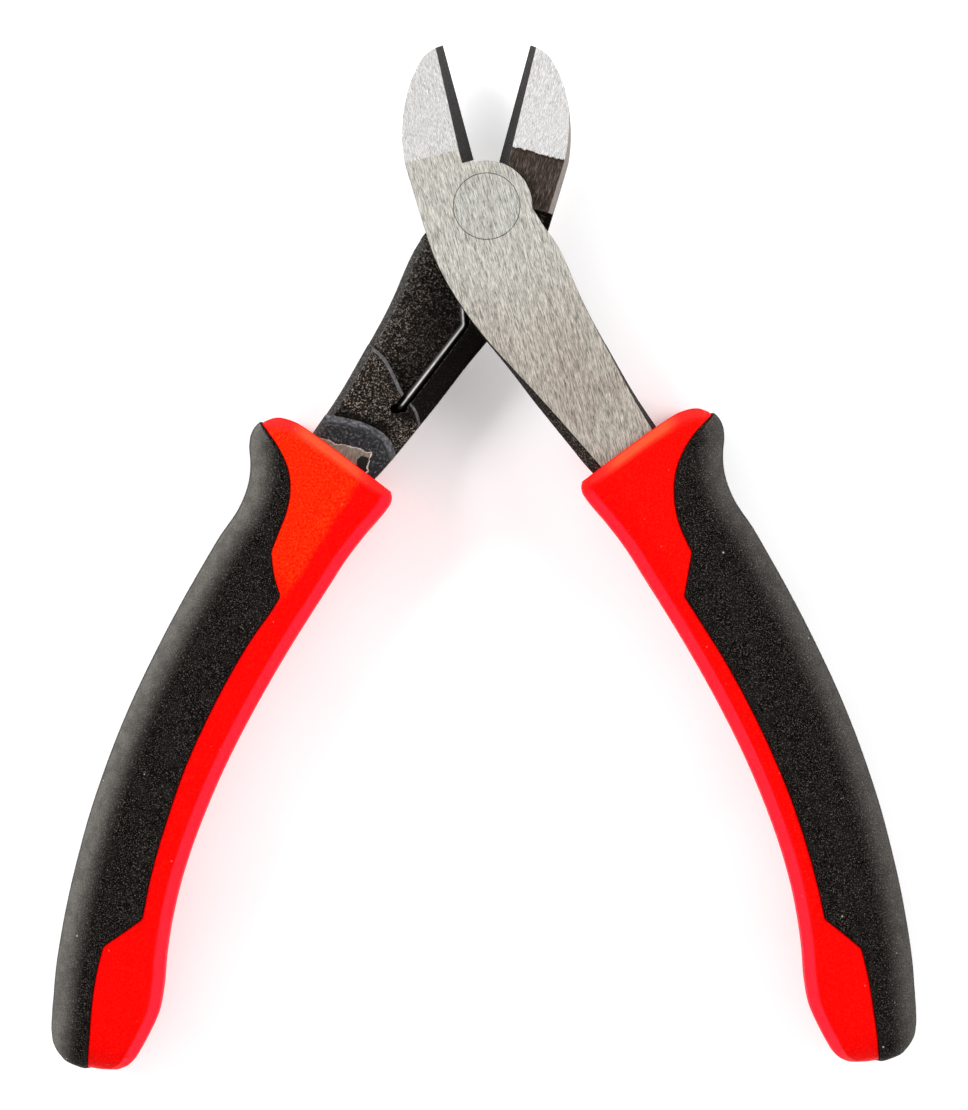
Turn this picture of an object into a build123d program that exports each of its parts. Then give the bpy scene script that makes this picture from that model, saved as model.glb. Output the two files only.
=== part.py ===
"""Spring-opened diagonal cutting pliers, 150 mm class, open 30 degrees.

Two identical lap-joint forgings, one turned over, share one riveted pivot.
Frame: +Z up through the pivot, +Y towards the jaw tips, millimetres.
The origin lies on the pivot axis in the flat ground underside of the head.
The tool lies on its side, so +X is the side the rear half's jaw opens to.

Each half is drawn once, closed, about the lap plane (z = 0 there), with its
cutting edge on x = 0, its jaw on the -X side and its handle on the +X side.
"""

from build123d import *
import os
from math import atan, atan2, cos, degrees, hypot, pi, radians, sin, sqrt, tan

os.makedirs("parts", exist_ok=True)

# ---------------------------------------------------------------- dimensions
HALF_OPEN = 15.0          # each half's turn from closed, degrees
LEAF_H = 4.5              # thickness of one leaf at the lap joint
LAP_Z = LEAF_H            # height of the lap plane over the origin
LAP_GAP = 0.02            # each lap face stands this far off the lap plane

EDGE_X = -0.03            # cutting edge off the closing plane
EDGE_Y0, EDGE_Y1 = 6.6, 23.3   # cutting edge, root to tip
BOSS_R = 6.3              # round boss the other jaw's shoulder turns about
SHOULDER_R = 6.45         # inner radius of that shoulder
SHOULDER_Y = 1.4          # where the shoulder starts
JAW_LOW = 3.3             # depth of the jaw past the lap plane
JAW_TOP_TIP = 2.9         # jaw thickness above the lap plane at the tip
JAW_LOW_TIP = 2.3         # and below it
SLOPE_Y = 8.6             # where the ground jaw slope starts

RIVET_R = 3.0             # shaft
RIVET_HEAD_R = 4.6        # flush heads
RIVET_HEAD_T = 1.2
RUN_GAP = 0.04            # running clearance on radii and lengths

WIRE_R = 0.45             # return spring wire
COIL_R = 4.3              # mean coil radius
COIL_Z = 0.708            # coil's ends off the lap plane
EASE_R = 20.0             # arc that levels each leg
POCKET_R = 5.4            # coil pocket
RELIEF = 1.3              # depth of the pocket, leg groove and handle relief

STEP_UP = 0.3             # handle's first rise past the lap plane
BULGE = 3.3               # and the second, in front of the grip
TANG_T = 2.5              # half thickness of the tang

CORE_H = 6.4              # half height of the grip core
OVER_H = 6.85             # half height of the grip overmold
OVER_T = 2.0              # overmold wall on the grip's outer side
SEAM = 0.03               # joint line between core and overmold
CAVITY_GAP = 0.07         # core's slot around the tang

# ------------------------------------------------------- contours, closed half
JAW_BACK = [(-1.4, 22.95), (-2.85, 22.4), (-4.4, 21.0), (-5.6, 19.5), (-7.3, 16.5),
            (-8.45, 13.5), (-9.1, 10.8), (-9.35, 8.9)]
NECK_IN_TOP = [(-9.02, -1.5), (-8.45, -6.8), (-7.1, -11.8), (-4.95, -17.3), (-2.57, -22.0),
               (0.07, -27.0), (2.62, -32.0), (5.07, -37.0), (7.3, -41.5)]
NECK_IN_MID = [(-9.03, -1.5), (-8.48, -6.8), (-7.17, -11.8), (-5.1, -17.3), (-2.95, -22.0),
               (-0.9, -27.0), (1.3, -32.0), (3.55, -37.0), (5.9, -41.5)]
NECK_OUT_TOP = [(7.0, -5.0), (8.1, -8.0), (9.1, -14.5), (9.9, -19.0), (11.1, -24.0),
                (12.35, -29.5), (13.7, -34.5), (15.3, -39.5)]
NECK_OUT_MID = [(7.01, -5.0), (8.14, -8.0), (9.2, -14.5), (10.08, -19.0), (11.36, -24.0),
                (12.8, -29.5), (14.45, -34.5), (16.3, -39.5)]
TANG = [(10.6, -38.5), (13.5, -47.0), (17.3, -60.0), (20.5, -72.0), (22.3, -85.0),
        (23.2, -98.0), (23.0, -112.0)]
TANG_W = [9.9, 9.0, 8.2, 7.4, 6.7, 6.1, 5.5]

# grip stations: inner contour point, outer contour point, drop of the rim
STATIONS = [
    ((1.0, -37.2), (23.9, -31.5), 0.0), ((2.4, -41.7), (23.5, -37.8), 0.0),
    ((4.2, -45.6), (22.0, -43.4), 0.0), ((6.5, -51.0), (22.6, -48.8), 0.0),
    ((9.0, -59.2), (24.8, -56.4), 0.0), ((12.1, -70.4), (27.3, -66.8), 0.0),
    ((14.3, -80.0), (29.3, -77.0), 0.0), ((15.8, -90.0), (30.5, -87.4), 0.0),
    ((16.4, -99.0), (30.9, -98.0), 0.0), ((15.9, -107.5), (30.5, -107.8), 0.0),
    ((14.7, -115.2), (29.5, -116.8), 0.0), ((15.0, -121.6), (28.5, -122.6), 0.0),
    ((15.9, -125.6), (27.4, -125.8), 0.6), ((17.4, -127.0), (25.8, -127.2), 2.0),
    ((19.4, -127.9), (23.8, -128.0), 3.6),
]
LAST_FULL = 11            # last station with a full section
SEAM_LINE = [(23.6, -35.2), (22.3, -36.0), (20.0, -37.4), (17.5, -39.6), (15.5, -42.6), (14.5, -46.0),
             (14.3, -49.0), (14.7, -52.0), (15.0, -53.4), (13.8, -56.0), (12.4, -59.0),
             (13.5, -62.5), (15.5, -69.0), (17.2, -76.0), (18.5, -83.0), (19.4, -90.0),
             (19.8, -97.0), (19.8, -103.0), (19.6, -107.0), (21.5, -109.5), (23.4, -112.2),
             (23.3, -116.0), (22.8, -121.0), (22.3, -125.0), (21.9, -129.0)]

REAR_SEAM_LINE = [(23.6, -35.9), (22.59, -36.68), (21.09, -37.9), (18.72, -39.98), (16.76, -42.71), (15.88, -45.73),
                  (15.8, -48.3), (16.08, -50.85), (16.4, -53.8), (15.02, -57.05), (13.58, -59.29),
                  (14.14, -61.27), (15.58, -65.13), (18.1, -74.23), (19.17, -79.47), (20.01, -84.66),
                  (20.7, -94.02), (20.83, -98.26), (20.76, -102.2), (20.42, -107.17), (22.5, -109.7),
                  (24.64, -112.16), (24.6, -115.62), (24.06, -120.43), (23.19, -125.16), (22.4, -130.2)]

# the rear grip is pushed a little further onto its tang than the front one
REAR_SLIP = (0.05, -1.2)   # along x and y of the closed half
REAR_TURN = 0.57           # and turned by this many degrees
REAR_HUB = (22.2, -80.1)   # about this point

# return spring leg, closed half, root to hook
LEG_HOOK = (-1.15, -16.55)
LEG_END = (4.5, -30.0)


# ------------------------------------------------------------------- forging
def tang_solid(grow):
    """The flat tang inside the grip, grown on every side by grow."""
    left, right = [], []
    for i, (x, y) in enumerate(TANG):
        x0, y0 = TANG[max(i - 1, 0)]
        x1, y1 = TANG[min(i + 1, len(TANG) - 1)]
        d = Vector(x1 - x0, y1 - y0, 0).normalized()
        w = TANG_W[i] / 2 + grow
        left.append((x + d.Y * w, y - d.X * w))
        right.append((x - d.Y * w, y + d.X * w))
    lx, ly = left[-1]
    rx, ry = right[-1]
    end = ((lx + rx) / 2, (ly + ry) / 2 - TANG_W[-1] / 2 - grow)
    with BuildPart() as tang:
        with BuildSketch(Plane.XY.offset(-TANG_T - grow)):
            with BuildLine():
                Spline(*left)
                ThreePointArc(left[-1], end, right[-1])
                Spline(*right)
                Line(left[0], right[0])
            make_face()
        extrude(amount=2 * (TANG_T + grow))
    return tang.part


def neck_outline(inner, outer, grow):
    """One level of the neck: both side walls and the square end inside the grip."""
    left = [(x - grow, y) for x, y in inner]
    right = [(x + grow, y) for x, y in outer]
    right[-1] = (right[-1][0], right[-1][1] - grow)
    left[-1] = (left[-1][0], left[-1][1] - grow)
    return left, right


def neck_solid(grow, foot):
    """The drafted neck. It is widest at mid height and foot deep past the lap plane."""
    with BuildPart() as neck:
        levels = [
            (1.8, NECK_IN_MID, NECK_OUT_MID),
            (LEAF_H + grow, NECK_IN_TOP, NECK_OUT_TOP),
        ]
        for z, inner, outer in levels:
            left, right = neck_outline(inner, outer, grow)
            with BuildSketch(Plane.XY.offset(z)):
                with BuildLine():
                    Spline(*left)
                    Line(left[-1], right[-1])
                    Spline(*reversed(right))
                    Line(right[0], left[0])
                make_face()
        loft(ruled=True)
        left, right = neck_outline(NECK_IN_MID, NECK_OUT_MID, grow)
        with BuildSketch(Plane.XY.offset(-foot - grow)):
            with BuildLine():
                Spline(*left)
                Line(left[-1], right[-1])
                Spline(*reversed(right))
                Line(right[0], left[0])
            make_face()
        extrude(amount=1.8 + foot + grow)
    return neck.part


def edge_cut(z, depth):
    """Wedge that takes the lap-side edge off the handle's outer wall, on a lap side at height z."""
    with BuildPart() as wedge:
        for level, shift in ((z - 0.6, -depth - 0.6), (z + depth + 0.3, 0.3)):
            line = [(x + shift, y) for x, y in NECK_OUT_MID]
            with BuildSketch(Plane.XY.offset(level)):
                with BuildLine():
                    Spline(*line)
                    Polyline(line[-1], (32.0, line[-1][1]), (32.0, line[0][1]), line[0])
                make_face()
        loft(ruled=True)
    return wedge.part


# contour of the jaw's back below the lap plane, and how far its draft leans in 3 mm further down
JAW_DRAFT = [((-9.0, -0.6), 0.64), ((-9.08, 1.4), 0.64), ((-9.2, 4.2), 0.64), ((-9.32, 7.0), 0.64), ((-9.35, 8.9), 0.62),
             ((-9.1, 10.8), 0.52), ((-8.45, 13.5), 0.34), ((-7.3, 16.5), 0.12), ((-6.1, 18.7), -0.02)]
with BuildPart() as draft:
    for level, lean in ((-0.3, -0.02), (-4.3, 4 / 3)):
        edge = [(x + (lean * full if lean > 0 else lean), y) for (x, y), full in JAW_DRAFT]
        with BuildSketch(Plane.XY.offset(level)):
            with BuildLine():
                Spline(*edge)
                Polyline(edge[-1], (-14.0, edge[-1][1]), (-14.0, edge[0][1]), edge[0])
            make_face()
    loft(ruled=True)
jaw_draft = draft.part

# region of the neck that rises past the lap plane, and the deeper bulge behind it
with BuildSketch(Plane.XY.offset(-12)) as rise_sk:
    with BuildLine():
        Spline((14.0, -22.0), (9.8, -22.9), (8.6, -23.5), (6.4, -25.6), (4.4, -27.9))
        Spline((4.4, -27.9), (3.4, -28.6), (2.2, -29.4), (1.0, -31.2), (-3.0, -32.6))
        Polyline((-3.0, -32.6), (-3.0, -60.0), (26.0, -60.0), (26.0, -22.0), (14.0, -22.0))
    make_face()
with BuildSketch(Plane.XY.offset(-12)) as bulge_sk:
    with BuildLine():
        Spline((18.0, -33.5), (12.5, -33.3), (7.0, -33.5), (4.6, -34.6), (3.2, -36.4), (0.0, -38.2))
        Polyline((0.0, -38.2), (0.0, -60.0), (26.0, -60.0), (26.0, -33.5), (18.0, -33.5))
    make_face()

# first rise, then the bulge with a soft top edge
neck_rise, neck_deep, neck_plain = neck_solid(0.0, STEP_UP), neck_solid(0.0, BULGE), neck_solid(0.0, -LAP_GAP)
rise_cut, bulge_cut, relief_cut = edge_cut(-STEP_UP, 1.0), edge_cut(-BULGE, 1.1), edge_cut(RELIEF, 0.9)
plain_tang = tang_solid(0.0)
with BuildPart() as neck_low:
    add(neck_rise)
    extrude(rise_sk.sketch, amount=24, mode=Mode.INTERSECT)
    low = neck_low.faces().sort_by(Axis.Z)[0]
    chamfer(low.edges().sort_by(Axis.Y)[-2:], length=0.45)
    add(rise_cut, mode=Mode.SUBTRACT)
with BuildPart() as neck_bulge:
    add(neck_deep)
    extrude(bulge_sk.sketch, amount=24, mode=Mode.INTERSECT)
    low = neck_bulge.faces().sort_by(Axis.Z)[0]
    front_edge = low.edges().sort_by(Axis.Y)[-1]
    chamfer(front_edge, length=1.3)
    add(bulge_cut, mode=Mode.SUBTRACT)

with BuildPart() as half:
    # upper leaf of the head: jaw, boss and hub
    with BuildSketch(Plane.XY.offset(LAP_GAP)):
        with BuildLine():
            Line((EDGE_X, BOSS_R), (EDGE_X, EDGE_Y1))
            Line((EDGE_X, EDGE_Y1), JAW_BACK[0])
            Spline(*JAW_BACK)
            Line(JAW_BACK[-1], (-9.32, 7.0))
            Line((-9.32, 7.0), NECK_IN_TOP[0])
            Spline(*NECK_IN_TOP[:5])
            Line(NECK_IN_TOP[4], NECK_OUT_TOP[3])
            Spline(*reversed(NECK_OUT_TOP[:4]))
            Line(NECK_OUT_TOP[0], (6.01, -1.9))
            ThreePointArc((6.01, -1.9), (4.455, 4.455), (EDGE_X, BOSS_R))
        make_face()
    extrude(amount=LEAF_H - LAP_GAP)
    # neck, from the lap face up
    add(neck_plain)
    # bearing face stays, the handle's outer lap side is relieved
    with BuildSketch(Plane.XY.offset(-1)):
        with BuildLine():
            Polyline((-0.6, -9.4), (-1.9, -16.4), (-1.65, -17.2), (3.75, -30.6), (3.75, -36.0),
                     (20.0, -36.0), (20.0, -6.0), (8.6, -6.0))
            ThreePointArc((8.6, -6.0), (4.86, -8.1), (-0.6, -9.4))
        make_face()
    extrude(amount=1 + RELIEF, mode=Mode.SUBTRACT)
    add(relief_cut, mode=Mode.SUBTRACT)
    # the two rises past the lap plane
    add(neck_low.part)
    add(neck_bulge.part)
    add(plain_tang)
    # lower jaw: everything past the shoulder and outside the other half's boss
    with BuildSketch(Plane.XY.offset(-JAW_LOW)) as low_jaw:
        with BuildLine():
            Line((EDGE_X, SHOULDER_R), (EDGE_X, EDGE_Y1))
            Line((EDGE_X, EDGE_Y1), JAW_BACK[0])
            Spline(*JAW_BACK)
            Line(JAW_BACK[-1], (-9.32, 7.0))
            Line((-9.32, 7.0), (-9.08, SHOULDER_Y))
            Line((-9.08, SHOULDER_Y), (-6.296, SHOULDER_Y))
            ThreePointArc((-6.296, SHOULDER_Y), (-4.561, 4.561), (EDGE_X, SHOULDER_R))
        make_face()
    extrude(amount=JAW_LOW + 0.5)
    # ground slopes of the jaw, top and bottom
    with BuildSketch(Plane.YZ.offset(-14)):
        Polygon((SLOPE_Y, LEAF_H), (EDGE_Y1, JAW_TOP_TIP), (EDGE_Y1 + 2, JAW_TOP_TIP - 0.22),
                (EDGE_Y1 + 2, LEAF_H + 2), (SLOPE_Y, LEAF_H + 2), align=None)
        Polygon((SLOPE_Y + 0.2, -JAW_LOW), (EDGE_Y1, -JAW_LOW_TIP), (EDGE_Y1 + 2, -JAW_LOW_TIP + 0.14),
                (EDGE_Y1 + 2, -JAW_LOW - 2), (SLOPE_Y + 0.2, -JAW_LOW - 2), align=None)
    extrude(amount=18, mode=Mode.SUBTRACT)
    # wedge bevels of the blade, either side of the edge
    with BuildSketch(Plane.XZ.offset(-EDGE_Y0)):
        Polygon((EDGE_X, 0.0), (EDGE_X - 2.27, 6.0), (3.0, 6.0), (3.0, 0.0), align=None)
    extrude(amount=-30, mode=Mode.SUBTRACT)
    with BuildSketch(Plane.XZ.offset(-SHOULDER_R + 1.5)):
        Polygon((EDGE_X, 0.0), (EDGE_X - 2.27, -6.0), (3.0, -6.0), (3.0, 0.0), align=None)
    extrude(amount=-30, mode=Mode.SUBTRACT)
    # drafted back wall of the lower jaw
    add(jaw_draft, mode=Mode.SUBTRACT)
    # rivet hole, head recess, coil pocket and leg groove
    with BuildSketch(Plane.XY.offset(-2)):
        Circle(RIVET_R + RUN_GAP)
    extrude(amount=12, mode=Mode.SUBTRACT)
    with BuildSketch(Plane.XY.offset(LEAF_H - RIVET_HEAD_T - 0.03)):
        Circle(RIVET_HEAD_R + RUN_GAP)
    extrude(amount=4, mode=Mode.SUBTRACT)
    with BuildSketch(Plane.XY.offset(-0.5)):
        Circle(POCKET_R)
        with BuildLine():
            Polyline((5.0, -0.6), (-0.25, -17.2), (-1.9, -16.4), (3.1, -1.6), (5.0, -0.6))
        make_face()
    extrude(amount=0.5 + RELIEF, mode=Mode.SUBTRACT)
    # channel for the leg through the first rise
    with BuildSketch(Plane.XY.offset(-1)):
        Polygon((3.59, -25.91), (5.19, -29.71), (3.81, -30.29), (2.21, -26.49), align=None)
    extrude(amount=1 + RELIEF, mode=Mode.SUBTRACT)
    # oval hole that anchors the leg's end
    with BuildSketch(Plane.XY.offset(-1.5)):
        with Locations(Location((4.55, -30.0), -22)):
            SlotOverall(2.5, 1.3)
    extrude(amount=1.5 + RELIEF + 1.7, mode=Mode.SUBTRACT)


# -------------------------------------------------------------------- rivet
with BuildPart() as rivet:
    with BuildSketch(Plane.XY.offset(-LEAF_H)):
        Circle(RIVET_R)
    extrude(amount=2 * LEAF_H)
    for z in (-LEAF_H, LEAF_H - RIVET_HEAD_T):
        with BuildSketch(Plane.XY.offset(z)):
            Circle(RIVET_HEAD_R)
        extrude(amount=RIVET_HEAD_T)
    rims = rivet.edges().filter_by(GeomType.CIRCLE).group_by(Axis.Z)
    chamfer([rims[0][0], rims[-1][0]], length=0.08)

# ------------------------------------------------------------- return spring
def corner(p, q, r, radius):
    """Start, middle and end of the arc that rounds the corner at q."""
    a, b = (p - q).normalized(), (r - q).normalized()
    half_angle = radians(a.get_angle(b)) / 2
    d = radius / tan(half_angle)
    centre = q + (a + b).normalized() * (radius / sin(half_angle))
    middle = centre - (a + b).normalized() * radius
    return q + a * d, middle, q + b * d


def leg_points(side):
    """Corner points of one leg in the rest frame, coil end first. side is 1 front, -1 rear."""
    turn = radians(HALF_OPEN)
    lean = radians(18.7)
    flat = [(COIL_R * cos(lean), -COIL_R * sin(lean)), LEG_HOOK, LEG_END]
    out = []
    for x, y in flat:
        out.append(Vector(side * (x * cos(turn) - y * sin(turn)), x * sin(turn) + y * cos(turn), 0))
    return out


front_leg, rear_leg = leg_points(1), leg_points(-1)
start_a = atan2(rear_leg[0].Y, rear_leg[0].X) % (2 * pi)
sweep_a = start_a - atan2(front_leg[0].Y, front_leg[0].X) + 2 * pi
# the coil climbs from one leg to the other, and a long-radius arc eases each leg level
climb = atan(2 * COIL_Z / (COIL_R * sweep_a))
ease_len, ease_up = EASE_R * sin(climb), EASE_R * (1 - cos(climb))
with BuildPart() as spring:
    with BuildLine() as wire_line:
        turns = Helix(pitch=2 * COIL_Z * 2 * pi / sweep_a, height=2 * COIL_Z, radius=COIL_R,
                      lefthand=True, mode=Mode.PRIVATE)
        add(turns.moved(Location((0, 0, -COIL_Z), (0, 0, degrees(start_a)))))
        for side, leg in ((-1, rear_leg), (1, front_leg)):
            up = Vector(0, 0, side)
            ahead = (leg[1] - leg[0]).normalized()
            root = Vector(leg[0].X, leg[0].Y, side * COIL_Z)
            level = side * (COIL_Z + ease_up)
            flat = [Vector(p.X, p.Y, level) for p in leg[:3]]
            flat.append(flat[2] + up * 2.0)
            eased = flat[0] + ahead * ease_len
            half_way = eased - ahead * (EASE_R * sin(climb / 2)) - up * (EASE_R * (1 - cos(climb / 2)))
            hook = corner(flat[0], flat[1], flat[2], 0.75)
            dive = corner(flat[1], flat[2], flat[3], 0.8)
            ThreePointArc(root, half_way, eased)
            Line(eased, hook[0])
            ThreePointArc(*hook)
            Line(hook[2], dive[0])
            ThreePointArc(*dive)
            Line(dive[2], flat[3])
    wire_path = wire_line.wires()[0]
    with BuildSketch(Plane(origin=wire_path @ 0, z_dir=wire_path % 0)):
        Circle(WIRE_R)
    sweep(path=wire_path)

# -------------------------------------------------------------------- grips
def grip_loft(height, inset, rim, facet):
    """Stations across the grip: one smooth run to the last full section, then a ruled end."""
    last = len(STATIONS) if inset == 0 else len(STATIONS) - 2
    with BuildPart() as body:
        for first, stop, straight in ((0, LAST_FULL + 1, False), (LAST_FULL, last, True)):
            for (px, py), (qx, qy), drop in STATIONS[first:stop]:
                w = hypot(qx - px, qy - py)
                ux, uy = (qx - px) / w, (qy - py) / w
                h = height - drop
                r = min(rim, h - 1.0, w / 2 - 1.0)
                f = min(facet, h / 2.2)
                c = r * (1 - sqrt(0.5))
                a, b = inset, w - inset
                with BuildSketch(Plane(origin=(px, py, 0), x_dir=(ux, uy, 0), z_dir=(uy, -ux, 0))):
                    with BuildLine():
                        Polyline((b - r, h), (a + f, h), (a, h - 1.8 * f), (a, -h + 1.8 * f), (a + f, -h), (b - r, -h))
                        ThreePointArc((b - r, -h), (b - c, -h + c), (b, -h + r))
                        Line((b, -h + r), (b, h - r))
                        ThreePointArc((b, h - r), (b - c, h - c), (b - r, h))
                    make_face()
            loft(ruled=straight)
    return body.part


def mouth_cut():
    """Everything in front of the grip's mouth and thumb guard."""
    with BuildPart() as cut:
        with BuildSketch(Plane.XY.offset(-12)):
            with BuildLine():
                Line((-8.0, -43.8), (15.0, -35.3))
                Spline((15.0, -35.3), (17.0, -34.5), (19.2, -34.2), (21.3, -34.6), (22.9, -35.8),
                       (23.6, -37.8), (23.9, -40.0))
                Polyline((23.9, -40.0), (40.0, -40.0), (40.0, -20.0), (-8.0, -20.0), (-8.0, -43.8))
            make_face()
        extrude(amount=24)
    return cut.part


def grip_body(height, rim):
    """The whole grip's outside: rounded outer rim, inner facets and a bevelled mouth."""
    outside, ahead = grip_loft(height + 0.03, 0.0, rim, 1.6), mouth_cut()
    with BuildPart() as body:
        add(outside)
        with BuildSketch(Plane.XY.offset(-height)):
            Rectangle(200, 400)
        extrude(amount=2 * height, mode=Mode.INTERSECT)
        add(ahead, mode=Mode.SUBTRACT)
    return body.part


def seam_region(line, shift):
    """Everything on the overmold's side of a seam line."""
    with BuildPart() as region:
        with BuildSketch(Plane.XY.offset(-12)):
            with BuildLine():
                Polyline(*[(x + shift, y) for x, y in line], (45, line[-1][1]), (45, line[0][1]),
                         (line[0][0] + shift, line[0][1]))
            make_face()
        extrude(amount=24)
    return region.part


slot_neck, slot_tang = neck_solid(CAVITY_GAP, BULGE), tang_solid(CAVITY_GAP)
core_shell, over_shell = grip_body(CORE_H, 3.4), grip_body(OVER_H, 4.2)
core_lining = grip_loft(CORE_H - 1.6, OVER_T, 2.4, 0.8)
over_lining = grip_loft(CORE_H - 1.6 + SEAM, OVER_T - SEAM, 2.4, 0.8)
ahead_of_mouth = mouth_cut()
rear_seat = (Location((REAR_HUB[0] + REAR_SLIP[0], REAR_HUB[1] + REAR_SLIP[1], 0), (0, 0, REAR_TURN))
             * Location((-REAR_HUB[0], -REAR_HUB[1], 0)))


def grip_pair(seat, line):
    """Core and overmold of one grip, seated on its tang, in the closed half's frame."""
    on_core, on_over = seam_region(line, 0.0), seam_region(line, SEAM)
    with BuildPart() as core:
        add(seat * core_shell)
        add(on_core, mode=Mode.SUBTRACT)
        add(seat * core_lining)
        add(seat * ahead_of_mouth, mode=Mode.SUBTRACT)
        add(slot_neck, mode=Mode.SUBTRACT)
        add(slot_tang, mode=Mode.SUBTRACT)
    with BuildPart() as overmold:
        add(seat * over_shell)
        add(on_over, mode=Mode.INTERSECT)
        add(seat * over_lining, mode=Mode.SUBTRACT)
    return core.part, overmold.part


front_core, front_over = grip_pair(Location((0, 0, 0)), SEAM_LINE)
rear_core, rear_over = grip_pair(rear_seat, REAR_SEAM_LINE)

# -------------------------------------------------------------------- export
front_pose = Location((0, 0, LAP_Z), (0, 0, HALF_OPEN))
rear_pose = Location((0, 0, LAP_Z), (0, 0, -HALF_OPEN)) * Location((0, 0, 0), (0, 180, 0))
centre_pose = Location((0, 0, LAP_Z))

with BuildPart() as front_half:
    with Locations(front_pose):
        add(half.part)
with BuildPart() as rear_half:
    with Locations(rear_pose):
        add(half.part)
with BuildPart() as front_grip_core:
    with Locations(front_pose):
        add(front_core)
with BuildPart() as rear_grip_core:
    with Locations(rear_pose):
        add(rear_core)
with BuildPart() as front_grip_overmold:
    with Locations(front_pose):
        add(front_over)
with BuildPart() as rear_grip_overmold:
    with Locations(rear_pose):
        add(rear_over)
with BuildPart() as pivot_rivet:
    with Locations(centre_pose):
        add(rivet.part)
with BuildPart() as return_spring:
    with Locations(centre_pose):
        add(spring.part)

front_half.part.label = "front_half"
export_step(front_half.part, "parts/front_half.step")
rear_half.part.label = "rear_half"
export_step(rear_half.part, "parts/rear_half.step")
pivot_rivet.part.label = "pivot_rivet"
export_step(pivot_rivet.part, "parts/pivot_rivet.step")
return_spring.part.label = "return_spring"
export_step(return_spring.part, "parts/return_spring.step")
front_grip_core.part.label = "front_grip_core"
export_step(front_grip_core.part, "parts/front_grip_core.step")
front_grip_overmold.part.label = "front_grip_overmold"
export_step(front_grip_overmold.part, "parts/front_grip_overmold.step")
rear_grip_core.part.label = "rear_grip_core"
export_step(rear_grip_core.part, "parts/rear_grip_core.step")
rear_grip_overmold.part.label = "rear_grip_overmold"
export_step(rear_grip_overmold.part, "parts/rear_grip_overmold.step")
for piece in (front_half, rear_half, pivot_rivet, return_spring, front_grip_core, front_grip_overmold,
              rear_grip_core, rear_grip_overmold):
    print(piece.part.label, round(piece.part.volume, 1), len(piece.part.solids()), piece.part.is_valid)
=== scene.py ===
import math

import bmesh
import bpy
import numpy as np
from mathutils import Matrix, Vector


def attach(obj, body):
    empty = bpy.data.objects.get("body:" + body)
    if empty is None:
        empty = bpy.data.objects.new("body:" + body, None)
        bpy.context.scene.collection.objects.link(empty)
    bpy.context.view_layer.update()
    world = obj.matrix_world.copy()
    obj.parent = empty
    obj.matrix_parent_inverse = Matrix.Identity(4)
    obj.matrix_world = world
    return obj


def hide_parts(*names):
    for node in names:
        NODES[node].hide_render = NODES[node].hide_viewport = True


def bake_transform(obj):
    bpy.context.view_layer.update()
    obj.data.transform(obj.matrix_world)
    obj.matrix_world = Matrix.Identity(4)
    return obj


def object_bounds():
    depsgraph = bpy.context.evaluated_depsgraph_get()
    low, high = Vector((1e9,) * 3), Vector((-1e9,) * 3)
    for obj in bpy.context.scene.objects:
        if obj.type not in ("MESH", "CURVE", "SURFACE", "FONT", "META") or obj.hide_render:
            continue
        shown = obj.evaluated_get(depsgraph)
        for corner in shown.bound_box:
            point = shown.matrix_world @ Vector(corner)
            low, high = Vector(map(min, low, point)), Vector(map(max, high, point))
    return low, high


# Spring-opened diagonal cutting pliers lying on a plain pale floor.
# Each half is described closed, in millimetres about the lap plane; the front
# half is turned +15 degrees, the rear half is turned over and turned -15.

MM = 0.001
LAP_Z = 4.5
OPEN = math.radians(15.0)

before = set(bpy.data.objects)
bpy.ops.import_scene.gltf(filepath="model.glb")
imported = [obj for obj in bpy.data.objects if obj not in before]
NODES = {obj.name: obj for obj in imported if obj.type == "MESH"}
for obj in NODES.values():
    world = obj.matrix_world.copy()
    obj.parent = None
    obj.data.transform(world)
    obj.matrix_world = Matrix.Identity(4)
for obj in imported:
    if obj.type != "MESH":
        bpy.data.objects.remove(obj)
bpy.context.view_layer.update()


def to_rest(p, side):
    """Closed-half points (N,3) in mm to rest-frame metres. side is 1 front, -1 rear."""
    p = np.asarray(p, float)
    x, y, z = p[..., 0] * side, p[..., 1], p[..., 2] * side
    a = OPEN * side
    return np.stack([x * math.cos(a) - y * math.sin(a), x * math.sin(a) + y * math.cos(a), z + LAP_Z], -1) * MM


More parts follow.
